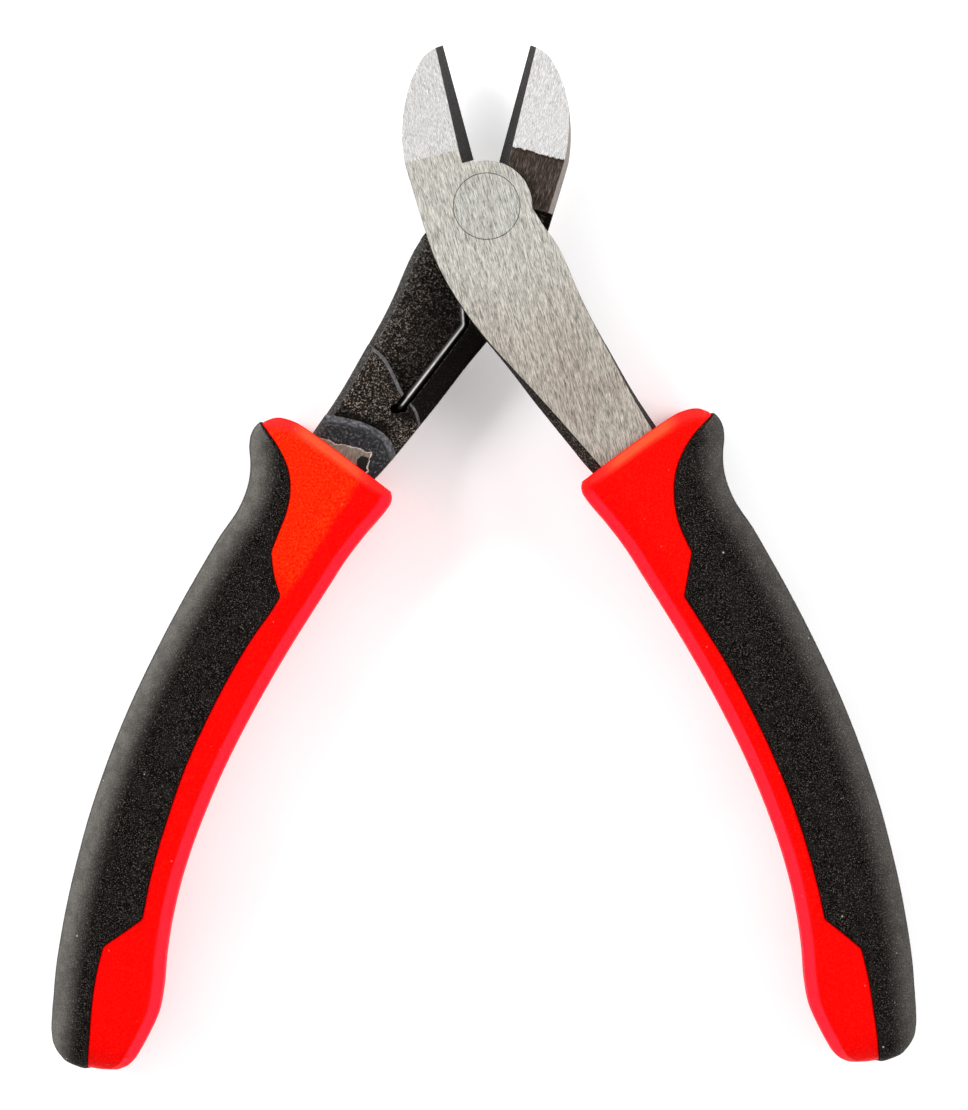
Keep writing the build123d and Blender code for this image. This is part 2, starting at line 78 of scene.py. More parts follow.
# --------------------------------------------------------------- node helpers
class Tree:
    """A material's node tree with short calls."""

    def __init__(self, name):
        self.mat = bpy.data.materials.new(name)
        self.mat.use_nodes = True
        self.t = self.mat.node_tree
        self.t.nodes.clear()
        self.out = self.t.nodes.new("ShaderNodeOutputMaterial")
        self.bsdf = self.t.nodes.new("ShaderNodeBsdfPrincipled")
        self.link(self.bsdf.outputs[0], self.out.inputs["Surface"])

    def link(self, a, b):
        self.t.links.new(a, b)

    def put(self, socket, value):
        if isinstance(value, bpy.types.NodeSocket):
            self.link(value, socket)
        elif isinstance(value, (tuple, list)) and len(value) == 3 and socket.type == "RGBA":
            socket.default_value = (*value, 1.0)
        else:
            socket.default_value = value

    def node(self, kind, **inputs):
        n = self.t.nodes.new(kind)
        for k, v in inputs.items():
            self.put(n.inputs[k.replace("_", " ")], v)
        return n

    def set(self, **inputs):
        for k, v in inputs.items():
            self.put(self.bsdf.inputs[k.replace("_", " ")], v)

    def math(self, op, a, b=0.0, c=None, clamp=False):
        n = self.t.nodes.new("ShaderNodeMath")
        n.operation = op
        n.use_clamp = clamp
        self.put(n.inputs[0], a)
        self.put(n.inputs[1], b)
        if c is not None:
            self.put(n.inputs[2], c)
        return n.outputs[0]

    def mul(self, a, b):
        return self.math("MULTIPLY", a, b)

    def add(self, a, b):
        return self.math("ADD", a, b)

    def sub(self, a, b):
        return self.math("SUBTRACT", a, b)

    def step(self, value, lo, hi):
        """Smooth ramp from 0 at lo to 1 at hi."""
        n = self.t.nodes.new("ShaderNodeMapRange")
        n.interpolation_type = "SMOOTHSTEP"
        n.clamp = True
        self.put(n.inputs["Value"], value)
        flip = hi < lo
        self.put(n.inputs["From Min"], hi if flip else lo)
        self.put(n.inputs["From Max"], lo if flip else hi)
        self.put(n.inputs["To Min"], 1.0 if flip else 0.0)
        self.put(n.inputs["To Max"], 0.0 if flip else 1.0)
        return n.outputs["Result"]

    def mix(self, f, a, b):
        n = self.t.nodes.new("ShaderNodeMix")
        n.data_type = "RGBA"
        n.clamp_factor = True
        self.put(n.inputs[0], f)
        self.put(n.inputs[6], a)
        self.put(n.inputs[7], b)
        return n.outputs[2]

    def mixf(self, f, a, b):
        n = self.t.nodes.new("ShaderNodeMix")
        n.data_type = "FLOAT"
        self.put(n.inputs[0], f)
        self.put(n.inputs[2], a)
        self.put(n.inputs[3], b)
        return n.outputs[0]

    def ramp(self, value, stops):
        n = self.t.nodes.new("ShaderNodeValToRGB")
        r = n.color_ramp
        while len(r.elements) < len(stops):
            r.elements.new(0.5)
        for e, (pos, col) in zip(r.elements, stops):
            e.position = pos
            e.color = (*col, 1.0) if len(col) == 3 else col
        self.put(n.inputs[0], value)
        return n.outputs["Color"]

    def noise(self, vec, scale, detail=2.0, rough=0.5, distortion=0.0):
        n = self.node("ShaderNodeTexNoise", Scale=scale, Detail=detail, Roughness=rough, Distortion=distortion)
        self.link(vec, n.inputs["Vector"])
        return n.outputs["Fac"]

    def voronoi(self, vec, scale, feature="F1"):
        n = self.node("ShaderNodeTexVoronoi", Scale=scale)
        n.feature = feature
        self.link(vec, n.inputs["Vector"])
        return n

    def scaled(self, vec, scale, rot=(0, 0, 0), loc=(0, 0, 0)):
        n = self.t.nodes.new("ShaderNodeMapping")
        self.link(vec, n.inputs["Vector"])
        n.inputs["Location"].default_value = loc
        n.inputs["Rotation"].default_value = rot
        n.inputs["Scale"].default_value = scale
        return n.outputs[0]

    def split(self, vec):
        n = self.t.nodes.new("ShaderNodeSeparateXYZ")
        self.link(vec, n.inputs[0])
        return n.outputs[0], n.outputs[1], n.outputs[2]

    def join(self, x, y, z):
        n = self.t.nodes.new("ShaderNodeCombineXYZ")
        self.put(n.inputs[0], x)
        self.put(n.inputs[1], y)
        self.put(n.inputs[2], z)
        return n.outputs[0]

    def bump(self, height, strength, distance, normal=None):
        n = self.node("ShaderNodeBump", Strength=strength, Distance=distance)
        self.link(height, n.inputs["Height"])
        if normal is not None:
            self.link(normal, n.inputs["Normal"])
        return n.outputs[0]

    def closed(self, side):
        """Object position and normal in the closed half's frame, in mm."""
        tc = self.t.nodes.new("ShaderNodeTexCoord")
        x, y, z = self.split(tc.outputs["Object"])
        x, y, z = self.mul(x, 1000.0), self.mul(y, 1000.0), self.sub(self.mul(z, 1000.0), LAP_Z)
        a = OPEN * side
        c, s = math.cos(a), math.sin(a)
        cx = self.mul(self.add(self.mul(x, c), self.mul(y, s)), float(side))
        cy = self.sub(self.mul(y, c), self.mul(x, s))
        cz = self.mul(z, float(side))
        nx, ny, nz = self.split(tc.outputs["Normal"])
        cnx = self.mul(self.add(self.mul(nx, c), self.mul(ny, s)), float(side))
        cny = self.sub(self.mul(ny, c), self.mul(nx, s))
        cnz = self.mul(nz, float(side))
        return (cx, cy, cz), (cnx, cny, cnz)


# ------------------------------------------------------------------ materials
def ground_colour(m, pos, lean, tint, contrast=1.0, lift=0.0, fine=1.0):
    """Ground steel: many short bright and dark strokes over a pale base. Returns colour and the stroke height."""
    long = m.noise(m.scaled(pos, (7.2 * fine, 0.60 * fine, 1.0), rot=(0, 0, lean)), 1.0, 5.0, 0.70)
    short = m.noise(m.scaled(pos, (9.0 * fine, 1.10 * fine, 1.0), rot=(0, 0, lean + 0.06), loc=(7.0, 3.0, 0.0)),
                    1.0, 3.0, 0.6)
    pick = m.noise(m.scaled(pos, (3.0, 0.9, 1.0), rot=(0, 0, lean - 0.05), loc=(2.0, 9.0, 0.0)), 1.0, 2.0, 0.5)
    height = m.add(m.mul(long, 0.55), m.mul(short, 0.45))
    v = m.add(m.mul(m.sub(height, 0.5), 3.4 * contrast), 0.5)
    colour = m.ramp(v, [(0.16, tuple(c * 0.36 for c in tint)), (0.38, tuple(c * 0.78 for c in tint)),
                        (0.54, tint), (0.82, tuple(min(1.0, c * 1.50 + lift) for c in tint))])
    dark = m.mul(m.step(short, 0.40, 0.28), m.step(pick, 0.45, 0.6))
    colour = m.mix(m.mul(dark, 0.75), colour, tuple(c * 0.30 for c in tint))
    glint = m.mul(m.step(short, 0.62, 0.72), m.step(pick, 0.5, 0.4))
    colour = m.mix(m.mul(glint, 0.8), colour, (0.95, 0.94, 0.91))
    return colour, height


def steel(name, side):
    """Ground satin faces over black-oxide forging, placed by where and how each face lies."""
    m = Tree(name)
    (x, y, z), (nx, ny, nz) = m.closed(side)
    pos = m.join(x, y, z)
    lean = 0.06 - side * OPEN
    cloud = m.noise(m.scaled(pos, (0.22, 0.12, 0.2), rot=(0, 0, lean)), 1.0, 3.0, 0.5)
    grain = m.noise(pos, 4.2, 5.0, 0.72)
    coarse = m.noise(m.scaled(pos, (1, 1, 1), loc=(3, 8, 1)), 0.9, 3.0, 0.6)
    wob = m.noise(pos, 2.6, 4.0, 0.75)

    # masks
    up = m.step(nz, 0.80, 0.93)
    down = m.step(nz, -0.80, -0.93)
    top_face = m.mul(up, m.step(z, 2.5, 2.7))
    slope_top = m.mul(top_face, m.step(m.add(y, m.mul(m.sub(wob, 0.5), 0.25)), 8.5, 8.68))
    ragged = m.add(y, m.mul(m.sub(wob, 0.5), 1.1))
    low_face = m.mul(down, m.mul(m.step(z, -2.0, -2.2), m.step(y, 0.8, 1.2)))
    slope_low = m.mul(low_face, m.step(ragged, 8.85, 9.05))
    band = m.mul(low_face, m.sub(1.0, m.step(ragged, 8.85, 9.05)))
    band_rim = m.mul(band, m.step(ragged, 8.35, 8.75))
    blade = m.mul(m.step(nx, 0.75, 0.88), m.step(y, 5.8, 6.2))
    tip = m.mul(m.step(ny, 0.75, 0.9), m.step(y, 22.0, 22.6))
    back = m.mul(m.step(nx, -0.55, -0.8), m.step(y, -1.0, 1.5))
    back_low = m.mul(back, m.step(z, 0.3, -0.1))
    ground = m.math("MAXIMUM", top_face, slope_low, clamp=True)
    bevels = m.mul(m.mul(m.step(nz, -0.97, -0.86), m.step(nz, -0.25, -0.45)), m.step(y, 0.5, -1.0))
    bulge_face = m.mul(m.mul(down, m.step(z, -2.8, -3.1)), m.step(y, -30.0, -31.0))

    # worn patch by the grip on the bulge's face
    px = m.add(x, m.mul(m.sub(m.noise(pos, 0.7, 3.0, 0.6), 0.5), 1.8))
    py = m.add(y, m.mul(m.sub(m.noise(m.scaled(pos, (1, 1, 1), loc=(9, 4, 0)), 0.6, 3.0, 0.6), 0.5), 1.4))
    patch_low = m.mul(down, m.step(z, -2.9, -3.1))
    patch = m.mul(m.mul(m.step(px, 6.3, 6.45), m.step(px, 13.9, 13.7)), m.mul(m.step(py, -36.75, -36.85), patch_low))
    patch_in = m.mul(m.mul(m.step(px, 6.45, 6.55), m.step(px, 13.7, 13.6)), m.mul(m.step(py, -36.90, -36.98), patch_low))
    rim = m.mul(patch, m.sub(1.0, patch_in))

    # colours
    bright, h_top = ground_colour(m, pos, lean, (0.482, 0.465, 0.420))
    neck_c, _ = ground_colour(m, pos, lean, (0.365, 0.318, 0.270), 1.1)
    bright = m.mix(m.mul(m.step(y, -4.0, -26.0), m.add(0.70, m.mul(m.step(cloud, 0.42, 0.62), 0.30))), bright, neck_c)
    # partly painted highlight: the jaw slopes get a lighter tint than the top face for the light their tilt catches;
    # their finer strokes are their own grind
    slope, h_slope = ground_colour(m, pos, lean, (0.560, 0.548, 0.542), 0.75, fine=2.0)
    oxide = m.ramp(grain, [(0.38, (0.0014, 0.0011, 0.0010)), (0.47, (0.0055, 0.0044, 0.0038)),
                           (0.55, (0.034, 0.0275, 0.0230)), (0.62, (0.300, 0.250, 0.210))])
    oxide = m.mix(m.mul(m.step(coarse, 0.50, 0.36), 0.6), oxide, (0.0024, 0.0019, 0.0017))
    # the strip inside the spring leg is smooth and darkest, with a few brown specks
    strip = m.step(m.sub(m.add(m.mul(x, 0.922), m.mul(y, 0.387)), -7.45), 0.3, -0.3)
    strip = m.mul(m.mul(strip, down), m.mul(m.step(y, -32.0, -30.8), m.step(z, -1.5, -1.0)))
    strip_c = m.ramp(grain, [(0.45, (0.0022, 0.0018, 0.0016)), (0.62, (0.0060, 0.0042, 0.0032)), (0.75, (0.060, 0.036, 0.022))])
    oxide = m.mix(m.mul(strip, 0.0 if side > 0 else 0.92), oxide, strip_c)
    # painted highlights: the tilted chamfers, the ridge line and the bulge's front chamfer are coloured lighter
    bevel_highlight_c = m.ramp(grain, [(0.36, (0.0060, 0.0054, 0.0050)), (0.50, (0.022, 0.0205, 0.0195)), (0.66, (0.105, 0.096, 0.088))])
    ridge_highlight_c = m.ramp(m.noise(pos, 1.9, 4.0, 0.7), [(0.36, (0.022, 0.0225, 0.025)), (0.52, (0.070, 0.071, 0.078)),
                                                   (0.66, (0.17, 0.17, 0.18))])
    bulge_c = m.ramp(m.noise(pos, 2.4, 5.0, 0.7), [(0.40, (0.0055, 0.0054, 0.0060)), (0.53, (0.0135, 0.0135, 0.0152)),
                                                   (0.66, (0.085, 0.085, 0.090))])
    band_c = m.ramp(m.noise(m.scaled(pos, (6.5, 0.9, 1.0), rot=(0, 0, lean)), 1.0, 5.0, 0.7),
                    [(0.32, (0.014, 0.0095, 0.0075)), (0.50, (0.036, 0.026, 0.021)), (0.60, (0.080, 0.062, 0.052)),
                     (0.74, (0.20, 0.165, 0.14))])
    blade_c = m.ramp(m.noise(m.scaled(pos, (1.0, 2.2, 6.0)), 1.0, 4.0, 0.6),
                     [(0.3, (0.012, 0.0108, 0.0106)), (0.55, (0.022, 0.0198, 0.0195)), (0.8, (0.045, 0.041, 0.040))])
    tan = m.ramp(m.noise(m.scaled(pos, (2.0, 1.0, 4.0)), 1.0, 4.0, 0.6),
                 [(0.3, (0.145, 0.122, 0.110)), (0.6, (0.205, 0.181, 0.166)), (0.8, (0.255, 0.228, 0.212))])
    # painted highlight towards the outer shoulder, painted shade away from it and on the steep side walls, and a
    # painted shadow at the foot of the bulge
    shy = m.sub(m.sub(8.1, m.mul(m.add(y, 8.0), 0.211)), x)
    painted_shoulder_highlight = m.mul(m.mul(m.step(shy, 3.2, 0.2), m.step(y, -30.0, -17.0)), m.mul(down, m.step(grain, 0.40, 0.60)))
    oxide = m.mix(m.mul(painted_shoulder_highlight, 0.65), oxide, (0.125, 0.115, 0.105))
    shade = m.mul(m.step(shy, 2.0, 7.5), m.step(y, -31.0, -26.0))
    shade = m.math("MAXIMUM", m.mul(shade, down), m.step(m.math("ABSOLUTE", nz), 0.6, 0.3))
    oxide = m.mix(m.mul(shade, 0.62), oxide, (0.0028, 0.0022, 0.0019))
    # painted shadow on the face at the bulge's foot
    painted_bulge_foot_shadow = m.mul(m.mul(m.step(m.add(y, m.mul(m.sub(coarse, 0.5), 1.2)), -31.7, -32.9), m.step(x, 3.0, 6.0)), m.step(z, -1.2, -0.8))
    oxide = m.mix(m.mul(m.mul(painted_bulge_foot_shadow, down), 0.9), oxide, (0.0020, 0.0016, 0.0015))
    colour = oxide
    # painted highlight on the chamfers, a paler one on the ridge line, and one on the bulge's front chamfer that fades
    # into the bulge face
    colour = m.mix(bevels, colour, bevel_highlight_c)
    ridge = m.mul(bevels, m.step(ny, 0.30, 0.45))
    colour = m.mix(m.mul(ridge, m.step(z, -1.5, -1.4)), colour, m.mix(0.25, ridge_highlight_c, (0.24, 0.24, 0.245)))
    colour = m.mix(m.mul(ridge, m.step(z, -1.4, -1.5)), colour, m.mix(m.step(z, -2.45, -3.2), ridge_highlight_c, bulge_c))
    colour = m.mix(bulge_face, colour, bulge_c)
    colour = m.mix(top_face, colour, bright)
    # the jaw slopes take the lighter, painted-highlight tint
    colour = m.mix(slope_top, colour, slope)
    colour = m.mix(slope_low, colour, slope)
    colour = m.mix(band, colour, band_c)
    colour = m.mix(m.mul(band_rim, 0.7), colour, (0.022, 0.012, 0.008))
    colour = m.mix(back_low, colour, tan)
    colour = m.mix(blade, colour, blade_c)
    colour = m.mix(tip, colour, m.mix(0.5, blade_c, (0.16, 0.10, 0.07)))
    worn_c = m.ramp(m.noise(m.scaled(pos, (4.0, 1.0, 1.0)), 1.0, 4.0, 0.6),
                    [(0.3, (0.13, 0.105, 0.080)), (0.55, (0.22, 0.185, 0.15)), (0.75, (0.38, 0.33, 0.28))])
    bx, by = m.mul(m.sub(px, 7.0), 0.85), m.mul(m.sub(py, -38.9), 0.62)
    blot = m.step(m.add(m.add(m.mul(bx, bx), m.mul(by, by)), m.mul(m.sub(wob, 0.5), 0.8)), 0.80, 0.62)
    worn_c = m.mix(blot, worn_c, (0.006, 0.005, 0.005))
    colour = m.mix(patch, colour, worn_c)
    colour = m.mix(m.mul(rim, 0.9), colour, (0.52, 0.50, 0.46))

    # bare metal shows on the edges
    bev = m.t.nodes.new("ShaderNodeBevel")
    bev.samples = 6
    bev.inputs["Radius"].default_value = 0.00016
    geo = m.t.nodes.new("ShaderNodeNewGeometry")
    dot = m.t.nodes.new("ShaderNodeVectorMath")
    dot.operation = "DOT_PRODUCT"
    m.link(bev.outputs[0], dot.inputs[0])
    m.link(geo.outputs["Normal"], dot.inputs[1])
    edge = m.step(dot.outputs["Value"], 0.995, 0.93)
    wear = m.mul(edge, m.step(m.noise(pos, 1.8, 4.0, 0.7), 0.42, 0.60))
    not_ground = m.sub(1.0, ground)
    colour = m.mix(m.mul(m.mul(wear, not_ground), 0.45), colour, (0.30, 0.235, 0.19))
    # the strip that meets the ground face keeps a thin dark scale line in places
    lip = m.mul(m.mul(edge, top_face), m.step(m.noise(pos, 1.2, 3.0, 0.7), 0.5, 0.6))
    colour = m.mix(m.mul(lip, 0.6), colour, (0.10, 0.085, 0.07))

    blot = m.mul(blot, patch)
    bare = m.mul(m.math("MAXIMUM", ground, patch, clamp=True), m.sub(1.0, blot))
    rough = m.mixf(bare, m.mixf(m.step(grain, 0.4, 0.7), 0.60, 0.40), m.mixf(m.step(h_top, 0.35, 0.65), 0.50, 0.38))
    rough = m.mixf(blade, rough, 0.42)
    metal = m.mixf(bare, m.mul(m.step(grain, 0.5, 0.66), 0.5), 0.55)
    metal = m.mixf(back_low, metal, 0.3)
    metal = m.mixf(blade, metal, 0.12)
    m.set(Base_Color=colour, Roughness=rough, Metallic=metal)
    m.put(m.bsdf.inputs["Specular IOR Level"], m.mixf(bare, m.mixf(m.math("MAXIMUM", bevels, bulge_face), 0.018, 0.12), 0.4))

    # relief: strokes on ground faces, pits on the forging skin, whose corners are worn soft
    soft = m.t.nodes.new("ShaderNodeBevel")
    soft.samples = 6
    soft.inputs["Radius"].default_value = 0.0011
    blendn = m.t.nodes.new("ShaderNodeMix")
    blendn.data_type = "VECTOR"
    m.put(blendn.inputs[0], m.math("MAXIMUM", m.math("MAXIMUM", bare, blade), m.step(y, 0.5, 1.0), clamp=True))
    m.link(soft.outputs[0], blendn.inputs[4])
    m.link(geo.outputs["Normal"], blendn.inputs[5])
    skin = m.add(m.mul(grain, 0.9), m.mul(coarse, 0.7))
    strokes = m.mul(m.mixf(slope_low, h_top, h_slope), 0.35)
    b1 = m.bump(m.mixf(bare, skin, strokes), 0.7, 0.00022, normal=blendn.outputs[1])
    m.put(m.bsdf.inputs["Normal"], b1)
    return m.mat


def rivet_steel():
    m = Tree("rivet_steel")
    (x, y, z), (nx, ny, nz) = m.closed(1)
    pos = m.join(x, y, z)
    colour, height = ground_colour(m, pos, 0.06 - OPEN, (0.478, 0.470, 0.432))
    side_wall = m.step(m.math("ABSOLUTE", nz), 0.8, 0.6)
    colour = m.mix(side_wall, colour, (0.06, 0.05, 0.042))
    m.set(Base_Color=colour, Roughness=m.mixf(m.step(height, 0.35, 0.65), 0.50, 0.38), Metallic=0.55)
    m.put(m.bsdf.inputs["Normal"], m.bump(height, 0.25, 0.0001))
    return m.mat


def wire_steel():
    m = Tree("spring_wire")
    tc = m.t.nodes.new("ShaderNodeTexCoord")
    pos = m.scaled(tc.outputs["Object"], (1000, 1000, 1000))
    n1 = m.noise(pos, 1.1, 4.0, 0.6)
    n2 = m.noise(m.scaled(pos, (6, 1.5, 6)), 1.0, 3.0, 0.6)
    lw = m.t.nodes.new("ShaderNodeLayerWeight")
    lw.inputs["Blend"].default_value = 0.5
    facing = lw.outputs["Facing"]
    # painted highlight and shade: bright where the wire faces the viewer, dark towards its sides
    colour = m.ramp(facing, [(0.00, (0.78, 0.77, 0.75)), (0.025, (0.40, 0.39, 0.38)), (0.07, (0.036, 0.034, 0.032)),
                             (0.6, (0.012, 0.011, 0.010))])
    colour = m.mix(m.mul(m.step(n2, 0.54, 0.70), 0.3), colour, (0.12, 0.095, 0.075))
    colour = m.mix(m.mul(m.step(n1, 0.52, 0.36), 0.3), colour, (0.05, 0.047, 0.044))
    m.set(Base_Color=colour, Roughness=m.mixf(m.step(n2, 0.35, 0.7), 0.30, 0.45), Metallic=0.45)
    m.bsdf.inputs["Specular IOR Level"].default_value = 0.10
    m.put(m.bsdf.inputs["Normal"], m.bump(n2, 0.15, 0.00005))
    return m.mat


def red_plastic(name, side):
    m = Tree(name)
    (x, y, z), (nx, ny, nz) = m.closed(side)
    pos = m.join(x, y, z)
    fine = m.noise(pos, 3.6, 4.0, 0.70)
    mid = m.noise(pos, 0.35, 3.0, 0.5)
    colour = m.ramp(fine, [(0.36, (0.62, 0.0002, 0.0004)), (0.50, (0.72, 0.0005, 0.0003)), (0.64, (0.82, 0.0050, 0.0015))])
    # painted sheen: the broad upper face is painted orange towards the mouth, and the inner facet pink as a painted
    # reflection of the pale floor
    a_up = m.math("ABSOLUTE", nz)
    crease = m.sub(x, m.add(7.1, m.mul(m.sub(-41.2, y), 0.31)))
    painted_orange_sheen = m.mul(m.step(m.add(y, m.mul(m.sub(mid, 0.5), 8.0)), -63.0, -54.0), m.step(a_up, 0.75, 0.95))
    painted_orange_sheen = m.mul(painted_orange_sheen, m.step(m.add(crease, m.mul(m.sub(mid, 0.5), 1.0)), -0.5, 0.7))
    orange = m.ramp(fine, [(0.38, (0.72, 0.0035, 0.0003)), (0.50, (0.80, 0.014, 0.0005)), (0.64, (0.88, 0.042, 0.003))])
    colour = m.mix(m.mul(painted_orange_sheen, 0.85 if side < 0 else 0.06), colour, orange)
    # painted highlight: the collar's lip band is painted orange, strongest in its middle
    lip_band = m.mul(m.step(ny, 0.10, 0.42), m.mul(m.step(y, -46.0, -44.5), m.step(a_up, 0.35, 0.6)))
    lip_highlight_c = m.mix(m.mul(m.step(x, 18.5, 15.5), m.step(x, 5.5, 9.0)), (0.80, 0.016, 0.014), (0.95, 0.068, 0.024))
    colour = m.mix(m.mul(lip_band, 0.9), colour, lip_highlight_c)
    # painted reflection of the floor on the inner facet
    facet = m.mul(m.step(nx, -0.45, -0.80), m.step(y, -40.5, -43.0))
    colour = m.mix(m.mul(facet, 0.6), colour, (0.86, 0.010, 0.030))
    spot = m.voronoi(pos, 0.8)
    pick = m.step(m.split(spot.outputs["Color"])[0], 0.78, 0.82)
    dust = m.mul(m.step(spot.outputs["Distance"], 0.11, 0.05), pick)
    colour = m.mix(m.mul(dust, 0.55), colour, (0.95, 0.16, 0.12))
    m.set(Base_Color=colour, Roughness=m.mixf(m.step(fine, 0.3, 0.7), 0.50, 0.38), Metallic=0.0)
    m.bsdf.inputs["Specular IOR Level"].default_value = 0.022
    m.bsdf.inputs["Subsurface Weight"].default_value = 0.05
    m.bsdf.inputs["Subsurface Radius"].default_value = (0.0010, 0.0001, 0.0001)
    m.put(m.bsdf.inputs["Normal"], m.bump(m.add(fine, m.mul(m.noise(pos, 7.0, 2.0), 0.4)), 0.6, 0.00016))
    return m.mat


def black_rubber(name, side):
    m = Tree(name)
    (x, y, z), (nx, ny, nz) = m.closed(side)
    pos = m.join(x, y, z)
    fine = m.noise(pos, 5.8, 4.0, 0.72)
    grit = m.noise(pos, 7.0, 2.0, 0.5)
    mid = m.noise(pos, 0.5, 3.0, 0.5)
    colour = m.ramp(fine, [(0.42, (0.0005, 0.0003, 0.0002)), (0.51, (0.0028, 0.0020, 0.0016)), (0.58, (0.018, 0.0150, 0.0130)),
                           (0.65, (0.110, 0.096, 0.084))])
    # painted sheen: the sideways-facing outer shoulder is painted grey as a reflection, more on the rear grip; the
    # crown by the seam is left dark
    shoulder = m.mul(m.step(nx, 0.10, 0.75), m.step(m.math("ABSOLUTE", nz), 0.05, 0.40))
    shoulder_sheen = m.mul(shoulder, m.add(0.55, m.mul(m.step(fine, 0.40, 0.62), 0.45)))
    colour = m.mix(m.mul(shoulder_sheen, 0.9 if side < 0 else 0.42), colour, (0.135, 0.127, 0.115))
    colour = m.mix(m.mul(m.step(mid, 0.46, 0.62), 0.25), colour, (0.014, 0.013, 0.012))
    spot = m.voronoi(pos, 1.15)
    pick = m.step(m.split(spot.outputs["Color"])[0], 0.72, 0.76)
    dust = m.mul(m.step(spot.outputs["Distance"], 0.12, 0.05), pick)
    colour = m.mix(m.mul(dust, 0.6), colour, (0.20, 0.19, 0.17))
    big = m.voronoi(m.scaled(pos, (1, 1, 1), loc=(4, 2, 6)), 0.42)
    pick2 = m.step(m.split(big.outputs["Color"])[1], 0.70, 0.74)
    fleck = m.mul(m.step(big.outputs["Distance"], 0.075, 0.03), pick2)
    colour = m.mix(m.mul(fleck, 0.85), colour, (0.42, 0.40, 0.37))
    m.set(Base_Color=colour, Roughness=m.mixf(m.step(grit, 0.3, 0.7), 0.66, 0.50), Metallic=0.0)
    m.bsdf.inputs["Specular IOR Level"].default_value = 0.02
    m.put(m.bsdf.inputs["Normal"], m.bump(m.add(m.mul(fine, 1.0), m.mul(grit, 0.4)), 0.6, 0.00018))
    return m.mat


# --------------------------------------------------------------- steel pieces
def dress(obj, mat):
    obj.data.materials.clear()
    obj.data.materials.append(mat)


dress(NODES["front_half"], steel("front_steel", 1))
dress(NODES["rear_half"], steel("rear_steel", -1))
dress(NODES["pivot_rivet"], rivet_steel())


# ---------------------------------------------------------------- mesh helper
def make_mesh(name, verts, faces, mat, smooth=True):
    me = bpy.data.meshes.new(name)
    me.from_pydata([tuple(v) for v in verts], [], faces)
    me.update()
    if smooth:
        me.polygons.foreach_set("use_smooth", [True] * len(me.polygons))
    ob = bpy.data.objects.new(name, me)
    bpy.context.scene.collection.objects.link(ob)
    me.materials.append(mat)
    me.validate()
    return ob


def curve_points(keys, t_keys, t):
    """Catmull-Rom through keys (K,...) at parameters t_keys, sampled at t."""
    keys, t_keys, t = np.asarray(keys, float), np.asarray(t_keys, float), np.asarray(t, float)
    slopes = np.zeros_like(keys)
    h = np.diff(t_keys)
    shape = (-1,) + (1,) * (keys.ndim - 1)
    d = np.diff(keys, axis=0) / h.reshape(shape)
    w1, w2 = h[1:].reshape(shape), h[:-1].reshape(shape)
    slopes[1:-1] = (w1 * d[:-1] + w2 * d[1:]) / (w1 + w2)
    slopes[0], slopes[-1] = d[0], d[-1]
    i = np.clip(np.searchsorted(t_keys, t, side="right") - 1, 0, len(t_keys) - 2)
    u = ((t - t_keys[i]) / h[i]).reshape(shape)
    hh = h[i].reshape(shape)
    u2, u3 = u * u, u * u * u
    return ((2 * u3 - 3 * u2 + 1) * keys[i] + (u3 - 2 * u2 + u) * hh * slopes[i]
            + (-2 * u3 + 3 * u2) * keys[i + 1] + (u3 - u2) * hh * slopes[i + 1])


# --------------------------------------------------------------- return spring
WIRE_R, COIL_R, SPRING_Z = 0.45, 4.3, 0.72
LEG_HOOK, LEG_END = (-1.15, -16.55), (4.5, -30.0)


def spring_path():
    lean = math.radians(18.7)

    def leg(side):
        flat = [(COIL_R * math.cos(lean), -COIL_R * math.sin(lean)), LEG_HOOK, LEG_END]
        pts = [np.array([x, y, 0.0]) for x, y in flat]
        a = OPEN
        out = []
        for p in pts:
            out.append(np.array([side * (p[0] * math.cos(a) - p[1] * math.sin(a)),
                                 p[0] * math.sin(a) + p[1] * math.cos(a), side * SPRING_Z]))
        out.append(out[-1] + np.array([0, 0, side * 2.0]))
        return out

    def rounded(points, radii):
        res = [points[0]]
        for i in range(1, len(points) - 1):
            p, q, r = points[i - 1], points[i], points[i + 1]
            a = (p - q) / np.linalg.norm(p - q)
            b = (r - q) / np.linalg.norm(r - q)
            half = math.acos(float(np.clip(a @ b, -1, 1))) / 2
            d = radii[i - 1] / math.tan(half)
            c = q + (a + b) / np.linalg.norm(a + b) * (radii[i - 1] / math.sin(half))
            s, e = q + a * d, q + b * d
            v0, v1 = s - c, e - c
            ang = math.acos(float(np.clip(v0 @ v1 / (np.linalg.norm(v0) * np.linalg.norm(v1)), -1, 1)))
            for k in range(13):
                t = k / 12
                res.append(c + (v0 * math.sin((1 - t) * ang) + v1 * math.sin(t * ang)) / math.sin(ang))
        res.append(points[-1])
        return res

    rear = rounded(leg(-1), [0.75, 0.8])
    front = rounded(leg(1), [0.75, 0.8])
    a0 = math.atan2(leg(-1)[0][1], leg(-1)[0][0]) % (2 * math.pi)
    sweep = a0 - math.atan2(leg(1)[0][1], leg(1)[0][0]) + 2 * math.pi
    n = 150
    coil = [np.array([COIL_R * math.cos(a0 - sweep * i / n), COIL_R * math.sin(a0 - sweep * i / n),
                      -SPRING_Z + 2 * SPRING_Z * i / n]) for i in range(1, n)]
    # long straights get points in between, so that they shade evenly
    path = list(reversed(rear)) + coil + front
    dense = [path[0]]
    for q in path[1:]:
        p = dense[-1]
        L = np.linalg.norm(q - p)
        if L < 1e-6:
            continue
        k = max(1, int(L / 0.8))
        for j in range(1, k + 1):
            dense.append(p + (q - p) * j / k)
    return np.array(dense)


